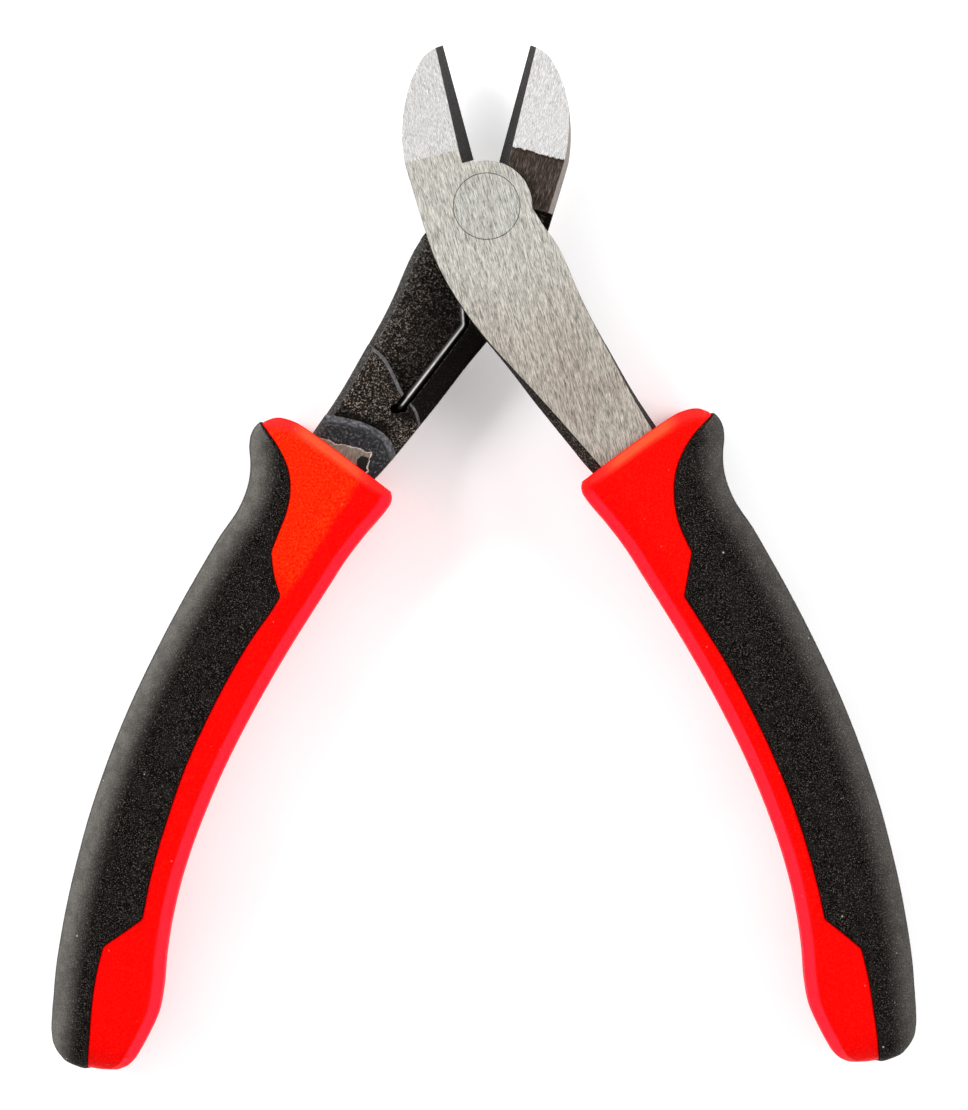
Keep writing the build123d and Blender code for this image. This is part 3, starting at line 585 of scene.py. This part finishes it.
def tube(name, path, radius, mat, ring=20):
    path = np.asarray(path, float)
    t = np.gradient(path, axis=0)
    t /= np.linalg.norm(t, axis=1)[:, None]
    ref = np.array([0.0, 1.0, 0.0]) if abs(t[0][2]) > 0.9 else np.array([0, 0, 1.0])
    n = ref - t[0] * (ref @ t[0])
    n /= np.linalg.norm(n)
    verts, faces = [], []
    for i, p in enumerate(path):
        if i:
            n = n - t[i] * (n @ t[i])
            n /= np.linalg.norm(n)
        b = np.cross(t[i], n)
        for k in range(ring):
            a = 2 * math.pi * k / ring
            verts.append(p + radius * (math.cos(a) * n + math.sin(a) * b))
    for i in range(len(path) - 1):
        for k in range(ring):
            k2 = (k + 1) % ring
            faces.append((i * ring + k, i * ring + k2, (i + 1) * ring + k2, (i + 1) * ring + k))
    faces.append(tuple(range(ring - 1, -1, -1)))
    faces.append(tuple((len(path) - 1) * ring + k for k in range(ring)))
    return make_mesh(name, verts, faces, mat)


spring = tube("return_spring_wire", (spring_path() + np.array([0, 0, LAP_Z])) * MM, WIRE_R * MM, wire_steel())
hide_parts("return_spring")
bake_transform(spring)


# ---------------------------------------------------------------------- grips
U = np.array([0.0, 0.12, 0.32, 0.52, 0.64, 0.80, 0.91, 1.0])


def straight(p, q, bow=0.0):
    p, q = np.array(p, float), np.array(q, float)
    d = q - p
    n = np.array([-d[1], d[0]]) / np.linalg.norm(d)
    return p + U[:, None] * d + np.outer(4 * U * (1 - U) * bow, n)


# the forging's neck near the grip: inner and outer walls at mid height and at the top face
NECK_IN_TOP = np.array([(2.62, -32.0), (5.07, -37.0), (7.3, -41.5)])
NECK_IN_MID = np.array([(1.3, -32.0), (3.55, -37.0), (5.9, -41.5)])
NECK_OUT_TOP = np.array([(12.35, -29.5), (13.7, -34.5), (15.3, -39.5)])
NECK_OUT_MID = np.array([(12.8, -29.5), (14.45, -34.5), (16.3, -39.5)])

# rows across the grip from its inner to its outer contour, mouth first: points, height
ROWS = [
    (np.array([(2.95, -40.05), (5.2, -39.15), (9.1, -37.6), (13.1, -36.05), (15.5, -35.15), (18.6, -34.3), (20.9, -34.45), (22.6, -35.55)]), 5.2),
    (np.array([(2.62, -40.75), (5.1, -39.85), (9.1, -38.3), (13.1, -36.75), (15.55, -35.9), (18.7, -35.05), (21.3, -35.25), (23.15, -36.35)]), 5.95),
    (np.array([(2.55, -41.55), (5.2, -40.7), (9.3, -39.15), (13.3, -37.65), (15.8, -36.85), (18.9, -36.15), (21.55, -36.45), (23.45, -37.45)]), 6.32),
    (np.array([(2.85, -42.6), (5.6, -41.8), (9.7, -40.4), (13.6, -39.05), (16.0, -38.35), (19.0, -37.8), (21.5, -38.1), (23.3, -39.0)]), 6.4),
    (np.array([(3.5, -44.1), (6.1, -43.45), (10.1, -42.3), (14.0, -41.15), (16.3, -40.55), (19.0, -40.1), (21.0, -40.4), (22.6, -41.0)]), 6.4),
    (straight((4.65, -46.5), (22.02, -43.9), 0.25), 6.4),
    (straight((6.25, -50.4), (22.3, -47.7), 0.0), 6.4),
    (straight((7.7, -55.0), (23.9, -52.6)), 6.4),
    (straight((9.0, -59.2), (24.95, -56.5)), 6.4),
    (straight((10.6, -64.6), (26.2, -61.4)), 6.4),
    (straight((12.15, -70.4), (27.45, -66.9)), 6.4),
    (straight((13.3, -75.2), (28.5, -72.2)), 6.4),
    (straight((14.35, -80.2), (29.4, -77.4)), 6.4),
    (straight((15.2, -85.2), (30.1, -82.8)), 6.4),
    (straight((15.85, -90.4), (30.6, -88.6)), 6.4),
    (straight((16.28, -95.6), (30.88, -94.6)), 6.4),
    (straight((16.38, -100.4), (30.85, -100.2)), 6.4),
    (straight((16.15, -105.2), (30.65, -105.6)), 6.4),
    (straight((15.55, -110.2), (30.2, -111.2)), 6.4),
    (straight((14.75, -114.6), (29.6, -116.1)), 6.4),
    (straight((14.5, -118.0), (28.95, -119.6)), 6.4),
    (straight((15.0, -121.2), (28.4, -122.4)), 6.35),
    (straight((15.55, -123.6), (27.85, -124.5)), 6.2),
    (straight((16.1, -125.3), (27.1, -126.0)), 5.75),
    (straight((17.0, -126.5), (25.9, -127.1)), 4.9),
    (straight((18.3, -127.25), (24.6, -127.75)), 3.7),
    (straight((19.6, -127.6), (23.2, -127.95)), 2.3),
]
SEAM = np.array([(23.6, -35.2), (22.4, -35.95), (20.0, -37.4), (17.5, -39.6), (15.5, -42.6), (14.5, -46.0), (14.3, -49.0),
                 (14.7, -52.0), (15.0, -53.4), (13.8, -56.0), (12.4, -59.0), (13.5, -62.5), (15.5, -69.0), (17.2, -76.0),
                 (18.5, -83.0), (19.4, -90.0), (19.8, -97.0), (19.8, -103.0), (19.6, -107.0), (21.5, -109.5), (23.4, -112.2),
                 (23.3, -116.0), (22.8, -121.0), (22.3, -125.0), (21.9, -127.4), (21.8, -131.0)])


def smooth_line(points, corners, step=0.25):
    """A polyline through points, curved except at the listed corner indices."""
    out = []
    cuts = [0] + sorted(corners) + [len(points) - 1]
    for a, b in zip(cuts[:-1], cuts[1:]):
        seg = points[a:b + 1]
        L = np.concatenate([[0], np.cumsum(np.linalg.norm(np.diff(seg, axis=0), axis=1))])
        n = max(2, int(L[-1] / step))
        t = np.linspace(0, L[-1], n + 1)
        out.append(curve_points(seg, L, t)[:-1])
    out.append(points[-1:])
    return np.concatenate(out)


SEAM_D = smooth_line(SEAM, [8, 10, 18, 20])
# the rear grip is pushed a little further on, turned a little, and its own seam runs nearer the outside
REAR_SEAM = np.array([(23.6, -35.9), (22.59, -36.68), (21.09, -37.9), (18.72, -39.98), (16.76, -42.71), (15.88, -45.73),
                      (15.8, -48.3), (16.08, -50.85), (16.4, -53.8), (15.02, -57.05), (13.58, -59.29), (14.14, -61.27),
                      (15.58, -65.13), (18.1, -74.23), (19.17, -79.47), (20.01, -84.66), (20.7, -94.02), (20.83, -98.26),
                      (20.76, -102.2), (20.42, -107.17), (22.5, -109.7), (24.64, -112.16), (24.6, -115.62),
                      (24.06, -120.43), (23.19, -125.16), (22.4, -130.2), (22.3, -132.0)])
REAR_SEAM_D = smooth_line(REAR_SEAM, [8, 10, 19, 21])
REAR_SLIP, REAR_TURN, REAR_HUB = np.array([0.05, -1.2]), math.radians(0.57), np.array([22.2, -80.1])


TANG = np.array([(10.6, -38.5), (13.5, -47.0), (17.3, -60.0), (20.5, -72.0), (22.3, -85.0), (23.2, -98.0),
                 (23.0, -112.0)])
TANG_W = np.array([9.9, 9.0, 8.2, 7.4, 6.7, 6.1, 5.5])


def seated(p, side):
    """Points of the closed half's plane moved to where that side's grip sits on its tang."""
    p = np.asarray(p, float)
    if side > 0:
        return p
    q = p - REAR_HUB
    c, s = math.cos(REAR_TURN), math.sin(REAR_TURN)
    return np.stack([q[..., 0] * c - q[..., 1] * s, q[..., 0] * s + q[..., 1] * c], -1) + REAR_HUB + REAR_SLIP


def row_curve(points, n=49):
    """Resample a row evenly by length. Returns points and the length."""
    d = np.concatenate([[0], np.cumsum(np.linalg.norm(np.diff(points, axis=0), axis=1))])
    dense = curve_points(points, d, np.linspace(0, d[-1], 8 * n))
    dd = np.concatenate([[0], np.cumsum(np.linalg.norm(np.diff(dense, axis=0), axis=1))])
    t = np.linspace(0, dd[-1], n)
    return np.stack([np.interp(t, dd, dense[:, 0]), np.interp(t, dd, dense[:, 1])], 1), dd[-1]


def cross_at(row, seam):
    """Fraction along the row where the seam line crosses it, or None."""
    a, b = row[:-1][:, None], row[1:][:, None]
    c, d = seam[:-1][None], seam[1:][None]
    r, s = b - a, d - c
    den = r[..., 0] * s[..., 1] - r[..., 1] * s[..., 0]
    den = np.where(np.abs(den) < 1e-12, 1e-12, den)
    ac = c - a
    t = (ac[..., 0] * s[..., 1] - ac[..., 1] * s[..., 0]) / den
    u = (ac[..., 0] * r[..., 1] - ac[..., 1] * r[..., 0]) / den
    hit = (t >= 0) & (t <= 1) & (u >= 0) & (u <= 1)
    if not hit.any():
        return None
    i, j = np.argwhere(hit)[0]
    return (i + t[i, j]) / (len(row) - 1)


def profile(w, h, facet, n=220):
    """Upper half of the section, from the outer wall's middle over the crown to the inner wall's middle.
    Returns arc length and (d, z), d being the distance from the inner contour."""
    k = min(1.0, h / 6.4)
    ro = min(5.0 * k, w * 0.42)
    f = facet * k
    pts = []
    zw = max(h + 0.0 - ro * 0.86, 0.12 * h)
    # outer wall, slightly barrelled, and the wide outer shoulder
    for z in np.linspace(0, zw, 8)[:-1]:
        pts.append((w - 0.10 * (z / max(zw, 1e-6)) ** 2, z))
    for a in np.linspace(0, math.pi / 2, 28):
        ca, sa = math.cos(a) ** 0.92, math.sin(a) ** 0.92
        pts.append((w - 0.10 - ro + ro * ca, zw + (h - zw) * sa))
    # nearly flat crown down to the inner facet
    for t in np.linspace(0, 1, 24)[1:]:
        d = (w - 0.10 - ro) * (1 - t) + f * t
        pts.append((d, h - 0.22 * k * t ** 1.6))
    zf = h - 0.22 * k - 2.7 * f / 1.6
    for t in np.linspace(0, 1, 8)[1:]:
        pts.append((f * (1 - t) + 0.10 * t, (h - 0.22 * k) * (1 - t) + zf * t))
    for t in np.linspace(0, 1, 6)[1:]:
        pts.append((0.10 * (1 - t), zf * (1 - t)))
    pts = np.array(pts)
    L = np.concatenate([[0], np.cumsum(np.linalg.norm(np.diff(pts, axis=0), axis=1))])
    t = np.linspace(0, L[-1], n)
    q = np.stack([np.interp(t, L, pts[:, 0]), np.interp(t, L, pts[:, 1])], 1)
    for _ in range(3):
        q[1:-1] = 0.25 * q[:-2] + 0.5 * q[1:-1] + 0.25 * q[2:]
    L = np.concatenate([[0], np.cumsum(np.linalg.norm(np.diff(q, axis=0), axis=1))])
    return L, q


class Grip:
    """One grip's outside as rows of section profiles, split along the seam into core and overmold."""

    def __init__(self, side, seam, step=0.5):
        pts = seated(np.array([r[0] for r in ROWS]), side)
        hs = np.array([r[1] for r in ROWS])
        mid = pts.mean(1)
        s = np.concatenate([[0], np.cumsum(np.linalg.norm(np.diff(mid, axis=0), axis=1))])
        n = int(s[-1] / step)
        fine_end = np.linspace(s[-6], s[-1], 30)
        t = np.concatenate([np.linspace(0, 4.0, 13)[:-1], np.linspace(4.0, s[-6], n)[:-1], fine_end])
        rows = curve_points(pts, s, t)
        self.h = curve_points(hs[:, None], s, t)[:, 0]
        self.t = t
        self.rows, self.w, self.prof, self.ts = [], [], [], []
        frac = []
        for r in rows:
            c, w = row_curve(r)
            self.rows.append(c)
            self.w.append(w)
            frac.append(cross_at(c, seam))
        # the seam starts on the thumb guard's front; ahead of it the core wraps right round
        first = next(i for i, f in enumerate(frac) if f is not None)
        ramp = 7
        for i, (c, w, h) in enumerate(zip(self.rows, self.w, self.h)):
            facet = 1.6
            L, q = profile(w, h, facet)
            if i < first - ramp:
                ts = None
            elif i < first:
                wall = L[np.argmax(q[:, 0] < q[0, 0] - 0.35)]
                ts = wall * (i - (first - ramp) + 0.6) / ramp
            else:
                f = frac[i] if frac[i] is not None else frac[i - 1]
                frac[i] = f
                d = min(f * w, q[0, 0] - 0.35)
                ts = float(np.interp(-d, -q[:, 0], L))
            self.prof.append((L, q))
            self.ts.append(ts)
        self.first = max(0, first - ramp)

    def point(self, i, tau):
        """Surface point of row i at signed arc length tau (negative on the underside)."""
        L, q = self.prof[i]
        T = L[-1]
        tau = np.asarray(tau, float)
        # past the inner middle the profile comes back along the underside
        a = np.abs(tau)
        over = a > T
        a2 = np.where(over, 2 * T - a, a)
        sign = np.where(tau < 0, -1.0, 1.0) * np.where(over, -1.0, 1.0)
        d = np.interp(a2, L, q[:, 0])
        z = np.interp(a2, L, q[:, 1]) * sign
        c, w = self.rows[i], self.w[i]
        f = np.clip(d / w, 0, 1) * (len(c) - 1)
        j = np.clip(f.astype(int), 0, len(c) - 2)
        u = (f - j)[:, None]
        xy = c[j] * (1 - u) + c[j + 1] * u
        return np.concatenate([xy, z[:, None]], 1)


NEAR = np.array([0.0, 0.04, 0.09, 0.15, 0.23, 0.34, 0.55, 0.95, 1.5, 2.1])


def lip(d, drop, rise, reach):
    """How far a surface stands off at distance d from the seam."""
    t = np.clip(d / reach, 0, 1)
    return -drop * (1 - t) ** 3 + rise * (1 - (1 - t) ** 2)


def spread(a, b, n):
    """n+1 stations from a to b with the NEAR spacing kept at both ends."""
    L = b - a
    near = NEAR * min(1.0, L / (3.2 * NEAR[-1]))
    inner = np.linspace(near[-1], L - near[-1], n + 1 - 2 * (len(near) - 1))
    return a + np.concatenate([near[:-1], inner, L - near[::-1][1:]])


def grip_meshes(side, g):
    nb, nr = 64, 92
    # positions on the base surface
    black_rows = [i for i in range(g.first, len(g.rows))]
    red = []
    for i in range(len(g.rows)):
        T = g.prof[i][0][-1]
        ts = g.ts[i] if g.ts[i] is not None else 0.0
        taus = spread(ts, 2 * T - ts, nr)
        red.append((g.point(i, taus), np.minimum(taus - ts, 2 * T - ts - taus), taus))
    black = []
    for i in black_rows:
        ts = g.ts[i]
        taus = spread(-ts, ts, nb)
        black.append((g.point(i, taus), ts - np.abs(taus), taus))

    def normals(grid):
        P = np.array(grid)
        ds = np.gradient(P, axis=0)
        dt = np.gradient(P, axis=1)
        n = np.cross(ds, dt)
        ln = np.linalg.norm(n, axis=2, keepdims=True)
        return n / np.maximum(ln, 1e-9)

    R = np.array([p for p, _, _ in red])
    RN = normals(R)
    Rd = np.array([d for _, d, _ in red])
    B = np.array([p for p, _, _ in black])
    BN = normals(B)
    Bd = np.array([d for _, d, _ in black])
    centre = R.mean(1)
    if ((R - centre[:, None]) * RN).sum() < 0:
        RN = -RN
    if ((B - centre[black_rows][:, None]) * BN).sum() < 0:
        BN = -BN
    # the overmold is a shell: its inner wall, and the core's wall a hair below that
    thick = np.array([min(1.6, 0.25 * g.w[i], 0.3 + 0.3 * (g.t[i] - g.t[g.first]), 0.5 + 0.14 * (g.t[-1] - g.t[i]))
                      for i in black_rows])[:, None, None]
    In, U = B - BN * thick, B - BN * (thick + 0.03)
    has = np.array([ts is not None for ts in g.ts], float)
    R = R + RN * (lip(Rd, 0.24, 0.0, 0.18) * has[:, None])[..., None]
    # the overmold's own front end drops into the seam too
    along = (np.arange(len(black_rows)) * 0.33)[:, None]
    Bd2 = np.minimum(Bd, along + 0.02)
    B = B + BN * lip(Bd2, 0.24, 0.30, 0.34)[..., None]
    return R, B, In, U


def grip_objects(side, label, g):
    R, B, In, U = grip_meshes(side, g)
    end = np.concatenate([R[-1], B[-1]]).mean(0)
    ahead = R[-9].mean(0) - R[-1].mean(0)
    ahead /= np.linalg.norm(ahead)
    depth = min(0.5, 0.25 * g.w[-1])
    end_in, end_under = end + ahead * depth, end + ahead * (depth + 0.03)
    nrow, ncol = R.shape[:2]
    verts = [tuple(v) for v in to_rest(R.reshape(-1, 3), side)]
    faces = []

    def quad(a, b, c, d):
        faces.append((a, b, c, d))

    for i in range(nrow - 1):
        for k in range(ncol - 1):
            quad(i * ncol + k, i * ncol + k + 1, (i + 1) * ncol + k + 1, (i + 1) * ncol + k)
    # mouth: rounded lip, then a face in to the neck's slot and a short way down it
    A, Bq = seated(np.array([3.0, -40.0]), side), seated(np.array([15.0, -35.4]), side)
    dirv = (Bq - A) / np.linalg.norm(Bq - A)
    inward = np.array([dirv[1], -dirv[0]])
    # the neck's section there, along the mouth line
    reach = []
    for wall in (NECK_IN_MID, NECK_IN_TOP, NECK_OUT_TOP, NECK_OUT_MID):
        off = (wall - A) @ inward
        j = int(np.argmax(off > 0)) if (off > 0).any() else len(off) - 1
        t = off[j - 1] / (off[j - 1] - off[j])
        reach.append(float(((wall[j - 1] + (wall[j] - wall[j - 1]) * t) - A) @ dirv))
    im, it, ot, om = reach[0] - 0.07, reach[1] - 0.07, reach[2] + 0.07, reach[3] + 0.07
    hole = np.array([(im, -3.38), (om, -3.38), (om, 1.8), (ot, 4.56), (it, 4.56), (im, 1.8)])
    ring0 = R[0]
    d0 = (ring0[:, :2] - A) @ dirv
    cc = np.array([(im + om) / 2, 0.3])

    def hole_hit(dv, hole=hole, cc=cc):
        best = None
        for a, b in zip(hole, np.roll(hole, -1, 0)):
            r, s = dv, b - a
            den = r[0] * s[1] - r[1] * s[0]
            if abs(den) < 1e-9:
                continue
            ac = a - cc
            t = (ac[0] * s[1] - ac[1] * s[0]) / den
            u = (ac[0] * r[1] - ac[1] * r[0]) / den
            if t > 0 and -1e-6 <= u <= 1 + 1e-6 and (best is None or t < best):
                best = t
        return cc + dv * best

    inner = []
    for d, z in zip(d0, ring0[:, 2]):
        v = np.array([d, z]) - cc
        inner.append(hole_hit(v / np.linalg.norm(v)))
    inner = np.array(inner)
    hole_xy = A + inner[:, :1] * dirv
    hole_ring = np.concatenate([hole_xy, inner[:, 1:]], 1)
    loops = []
    for k, (f, depth) in enumerate(((0.0, 0.0), (0.05, 0.0), (0.3, 0.02), (0.6, 0.05), (0.9, 0.05), (0.97, 0.08), (1.0, 0.22))):
        if k == 0:
            continue
        loop = ring0 * (1 - f) + hole_ring * f
        loop[:, :2] += inward * depth
        loops.append(loop)
    for depth in (0.8, 2.6, 4.4):
        loop = hole_ring.copy()
        loop[:, :2] += inward * depth
        loops.append(loop)
    # then the slot narrows to the tang and follows it to its end
    tk = np.arange(len(TANG), dtype=float)
    tt = np.linspace(1.0, tk[-1], 26)
    path = curve_points(TANG, tk, tt)
    wide = curve_points(TANG_W[:, None], tk, tt)[:, 0]
    run = np.gradient(path, axis=0)
    run /= np.linalg.norm(run, axis=1, keepdims=True)
    tip_r = wide[-1] / 2 + 0.35              # the tang's round end
    for f in (0.35, 0.7, 0.9, 0.98):
        path = np.concatenate([path, TANG[-1:] + run[-1:] * tip_r * f])
        wide = np.append(wide, 2 * (tip_r * math.sqrt(1 - f * f) - 0.22))
        run = np.concatenate([run, run[-1:]])
    aim = np.stack([d0, ring0[:, 2]], 1) - cc
    aim /= np.linalg.norm(aim, axis=1, keepdims=True)
    for q, w, r in zip(path, wide, run):
        slot = np.array([(-1, -2.72), (1, -2.72), (1, 2.72), (-1, 2.72)]) * [w / 2 + 0.22, 1.0]
        hit = np.array([hole_hit(v, slot, np.zeros(2)) for v in aim])
        loops.append(np.concatenate([q + hit[:, :1] * np.array([-r[1], r[0]]), hit[:, 1:]], 1))
    prev = 0
    for loop in loops:
        base = len(verts)
        verts += [tuple(v) for v in to_rest(loop, side)]
        for k in range(ncol - 1):
            quad(base + k, base + k + 1, prev + k + 1, prev + k)
        quad(base + ncol - 1, base, prev, prev + ncol - 1)
        prev = base
    blind = len(verts)
    verts.append(tuple(to_rest(loops[-1].mean(0)[None], side)[0]))
    for k in range(ncol):
        faces.append((prev + k, prev + (k + 1) % ncol, blind))
    # the ring's seam side closes on itself ahead of the overmold
    for i in range(g.first):
        faces.append((i * ncol + ncol - 1, i * ncol, (i + 1) * ncol, (i + 1) * ncol + ncol - 1))
    # end cap
    last = (nrow - 1) * ncol
    c = len(verts)
    verts += [tuple(v) for v in to_rest(np.array([end, end_under]), side)]
    for k in range(ncol - 1):
        quad(last + k, last + k + 1, c, c)
    # wall under the overmold
    low_rows, wc = U.shape[:2]
    u0 = len(verts)
    verts += [tuple(v) for v in to_rest(U.reshape(-1, 3), side)]
    for i in range(low_rows - 1):
        for k in range(wc - 1):
            quad(u0 + i * wc + k, u0 + i * wc + k + 1, u0 + (i + 1) * wc + k + 1, u0 + (i + 1) * wc + k)
        a, b = (g.first + i) * ncol, (g.first + i + 1) * ncol
        quad(a + ncol - 1, b + ncol - 1, u0 + (i + 1) * wc, u0 + i * wc)
        quad(a, b, u0 + (i + 1) * wc + wc - 1, u0 + i * wc + wc - 1)
    front = g.first * ncol
    edge_loop = [front, front + ncol - 1] + [u0 + k for k in range(wc)]
    hub = len(verts)
    verts.append(tuple(np.mean([verts[k] for k in edge_loop], axis=0)))
    for k, v in enumerate(edge_loop):
        faces.append((v, edge_loop[(k + 1) % len(edge_loop)], hub))
    ul = u0 + (low_rows - 1) * wc
    for k in range(wc - 1):
        faces.append((ul + k, ul + k + 1, c + 1))
    quad(last, c, c + 1, ul + wc - 1)
    quad(c, last + ncol - 1, ul, c + 1)
    faces[:] = [tuple(dict.fromkeys(f)) for f in faces]
    core = make_mesh(label + "_grip_core_skin", verts, faces, red_plastic(label + "_core_plastic", side))

    nrow, ncol = B.shape[:2]
    verts = [tuple(v) for v in to_rest(B.reshape(-1, 3), side)]
    faces = []
    for i in range(nrow - 1):
        for k in range(ncol - 1):
            faces.append((i * ncol + k, i * ncol + k + 1, (i + 1) * ncol + k + 1, (i + 1) * ncol + k))
    last = (nrow - 1) * ncol
    c = len(verts)
    verts += [tuple(v) for v in to_rest(np.array([end, end_in]), side)]
    v0 = len(verts)
    verts += [tuple(v) for v in to_rest(In.reshape(-1, 3), side)]
    for i in range(nrow - 1):
        for k in range(ncol - 1):
            quad(v0 + i * ncol + k, v0 + i * ncol + k + 1, v0 + (i + 1) * ncol + k + 1, v0 + (i + 1) * ncol + k)
        for k in (0, ncol - 1):
            quad(i * ncol + k, (i + 1) * ncol + k, v0 + (i + 1) * ncol + k, v0 + i * ncol + k)
    for k in range(ncol - 1):
        quad(k, k + 1, v0 + k + 1, v0 + k)
        faces.append((last + k, last + k + 1, c))
        faces.append((v0 + last + k, v0 + last + k + 1, c + 1))
    quad(last, c, c + 1, v0 + last)
    quad(c, last + ncol - 1, v0 + last + ncol - 1, c + 1)
    over = make_mesh(label + "_grip_overmold_skin", verts, faces, black_rubber(label + "_over_rubber", side))
    for ob in (core, over):
        bm = bmesh.new()
        bm.from_mesh(ob.data)
        bmesh.ops.recalc_face_normals(bm, faces=bm.faces)
        bm.to_mesh(ob.data)
        bm.free()
    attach(core, label)
    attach(over, label)
    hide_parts(label + "_grip_core")
    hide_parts(label + "_grip_overmold")
    return core, over


front_grip = grip_objects(1, "front", Grip(1, SEAM_D))
rear_grip = grip_objects(-1, "rear", Grip(-1, REAR_SEAM_D))

# ---------------------------------------------------------------------- stage
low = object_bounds()[0][2]
floor_z = low - 0.00002
me = bpy.data.meshes.new("floor")
S = 1.5
me.from_pydata([(-S, -S, floor_z), (S, -S, floor_z), (S, S, floor_z), (-S, S, floor_z)], [], [(0, 1, 2, 3)])
floor = bpy.data.objects.new("floor", me)
bpy.context.scene.collection.objects.link(floor)
fm = Tree("floor_paper")
tc = fm.t.nodes.new("ShaderNodeTexCoord")
fn = fm.noise(fm.scaled(tc.outputs["Object"], (60, 60, 60)), 1.0, 3.0, 0.5)
paper = fm.mix(fm.step(fn, 0.3, 0.7), (0.90, 0.895, 0.90), (0.93, 0.925, 0.93))
# the sheet glows softly under the head, and is clear when looked at from underneath
fx, fy, fz = fm.split(tc.outputs["Object"])
fy = fm.sub(fy, 0.012)
spread_r = fm.math("SQRT", fm.add(fm.mul(fx, fx), fm.mul(fy, fy)))
glow = fm.mixf(fm.step(spread_r, 0.016, 0.005), 0.14, 0.40)
fgeo = fm.t.nodes.new("ShaderNodeNewGeometry")
ray = fm.t.nodes.new("ShaderNodeLightPath")
seen = fm.sub(1.0, fm.mul(fgeo.outputs["Backfacing"], ray.outputs["Is Camera Ray"]))
fm.set(Base_Color=paper, Roughness=0.9, Emission_Color=(1.0, 1.0, 1.0), Emission_Strength=glow, Alpha=seen)
me.materials.append(fm.mat)

world = bpy.data.worlds.new("studio")
bpy.context.scene.world = world
world.use_nodes = True
wt = world.node_tree
bg = wt.nodes["Background"]
w_tc = wt.nodes.new("ShaderNodeTexCoord")
w_sep = wt.nodes.new("ShaderNodeSeparateXYZ")
wt.links.new(w_tc.outputs["Generated"], w_sep.inputs[0])
w_ramp = wt.nodes.new("ShaderNodeValToRGB")
w_ramp.color_ramp.elements[0].position = 0.25
w_ramp.color_ramp.elements[0].color = (1.0, 1.0, 1.0, 1.0)
w_ramp.color_ramp.elements[1].position = 0.86
w_ramp.color_ramp.elements[1].color = (0.30, 0.30, 0.30, 1.0)
wt.links.new(w_sep.outputs[2], w_ramp.inputs[0])
wt.links.new(w_ramp.outputs[0], bg.inputs[0])
bg.inputs[1].default_value = 1.38


def lamp(name, loc, target, size, energy, colour=(1, 1, 1)):
    data = bpy.data.lights.new(name, "AREA")
    data.shape = "RECTANGLE"
    data.size, data.size_y = size
    data.energy = energy
    data.color = colour
    ob = bpy.data.objects.new(name, data)
    ob.location = loc
    ob.rotation_euler = (Vector(target) - Vector(loc)).to_track_quat("-Z", "Y").to_euler()
    bpy.context.scene.collection.objects.link(ob)
    return ob


centre = Vector((-0.00037, -0.0481, 0.0))
lamp("key", (-0.60, 0.22, 0.36), centre, (0.5, 0.4), 6.5)
lamp("fill", (0.62, 0.05, 0.34), centre, (0.5, 0.4), 5.0)

cam_data = bpy.data.cameras.new("camera")
cam = bpy.data.objects.new("camera", cam_data)
bpy.context.scene.collection.objects.link(cam)
CAM_H = 1.1
cam.location = (centre.x, centre.y, CAM_H)
cam.rotation_euler = (0, 0, 0)
cam_data.sensor_fit = "VERTICAL"
cam_data.sensor_height = 24.0
span = 0.15318
cam_data.lens = 24.0 * (CAM_H - 0.008) / span / 1.0
cam_data.clip_start = 0.01
bpy.context.scene.camera = cam
bpy.context.scene.view_settings.view_transform = "Standard"
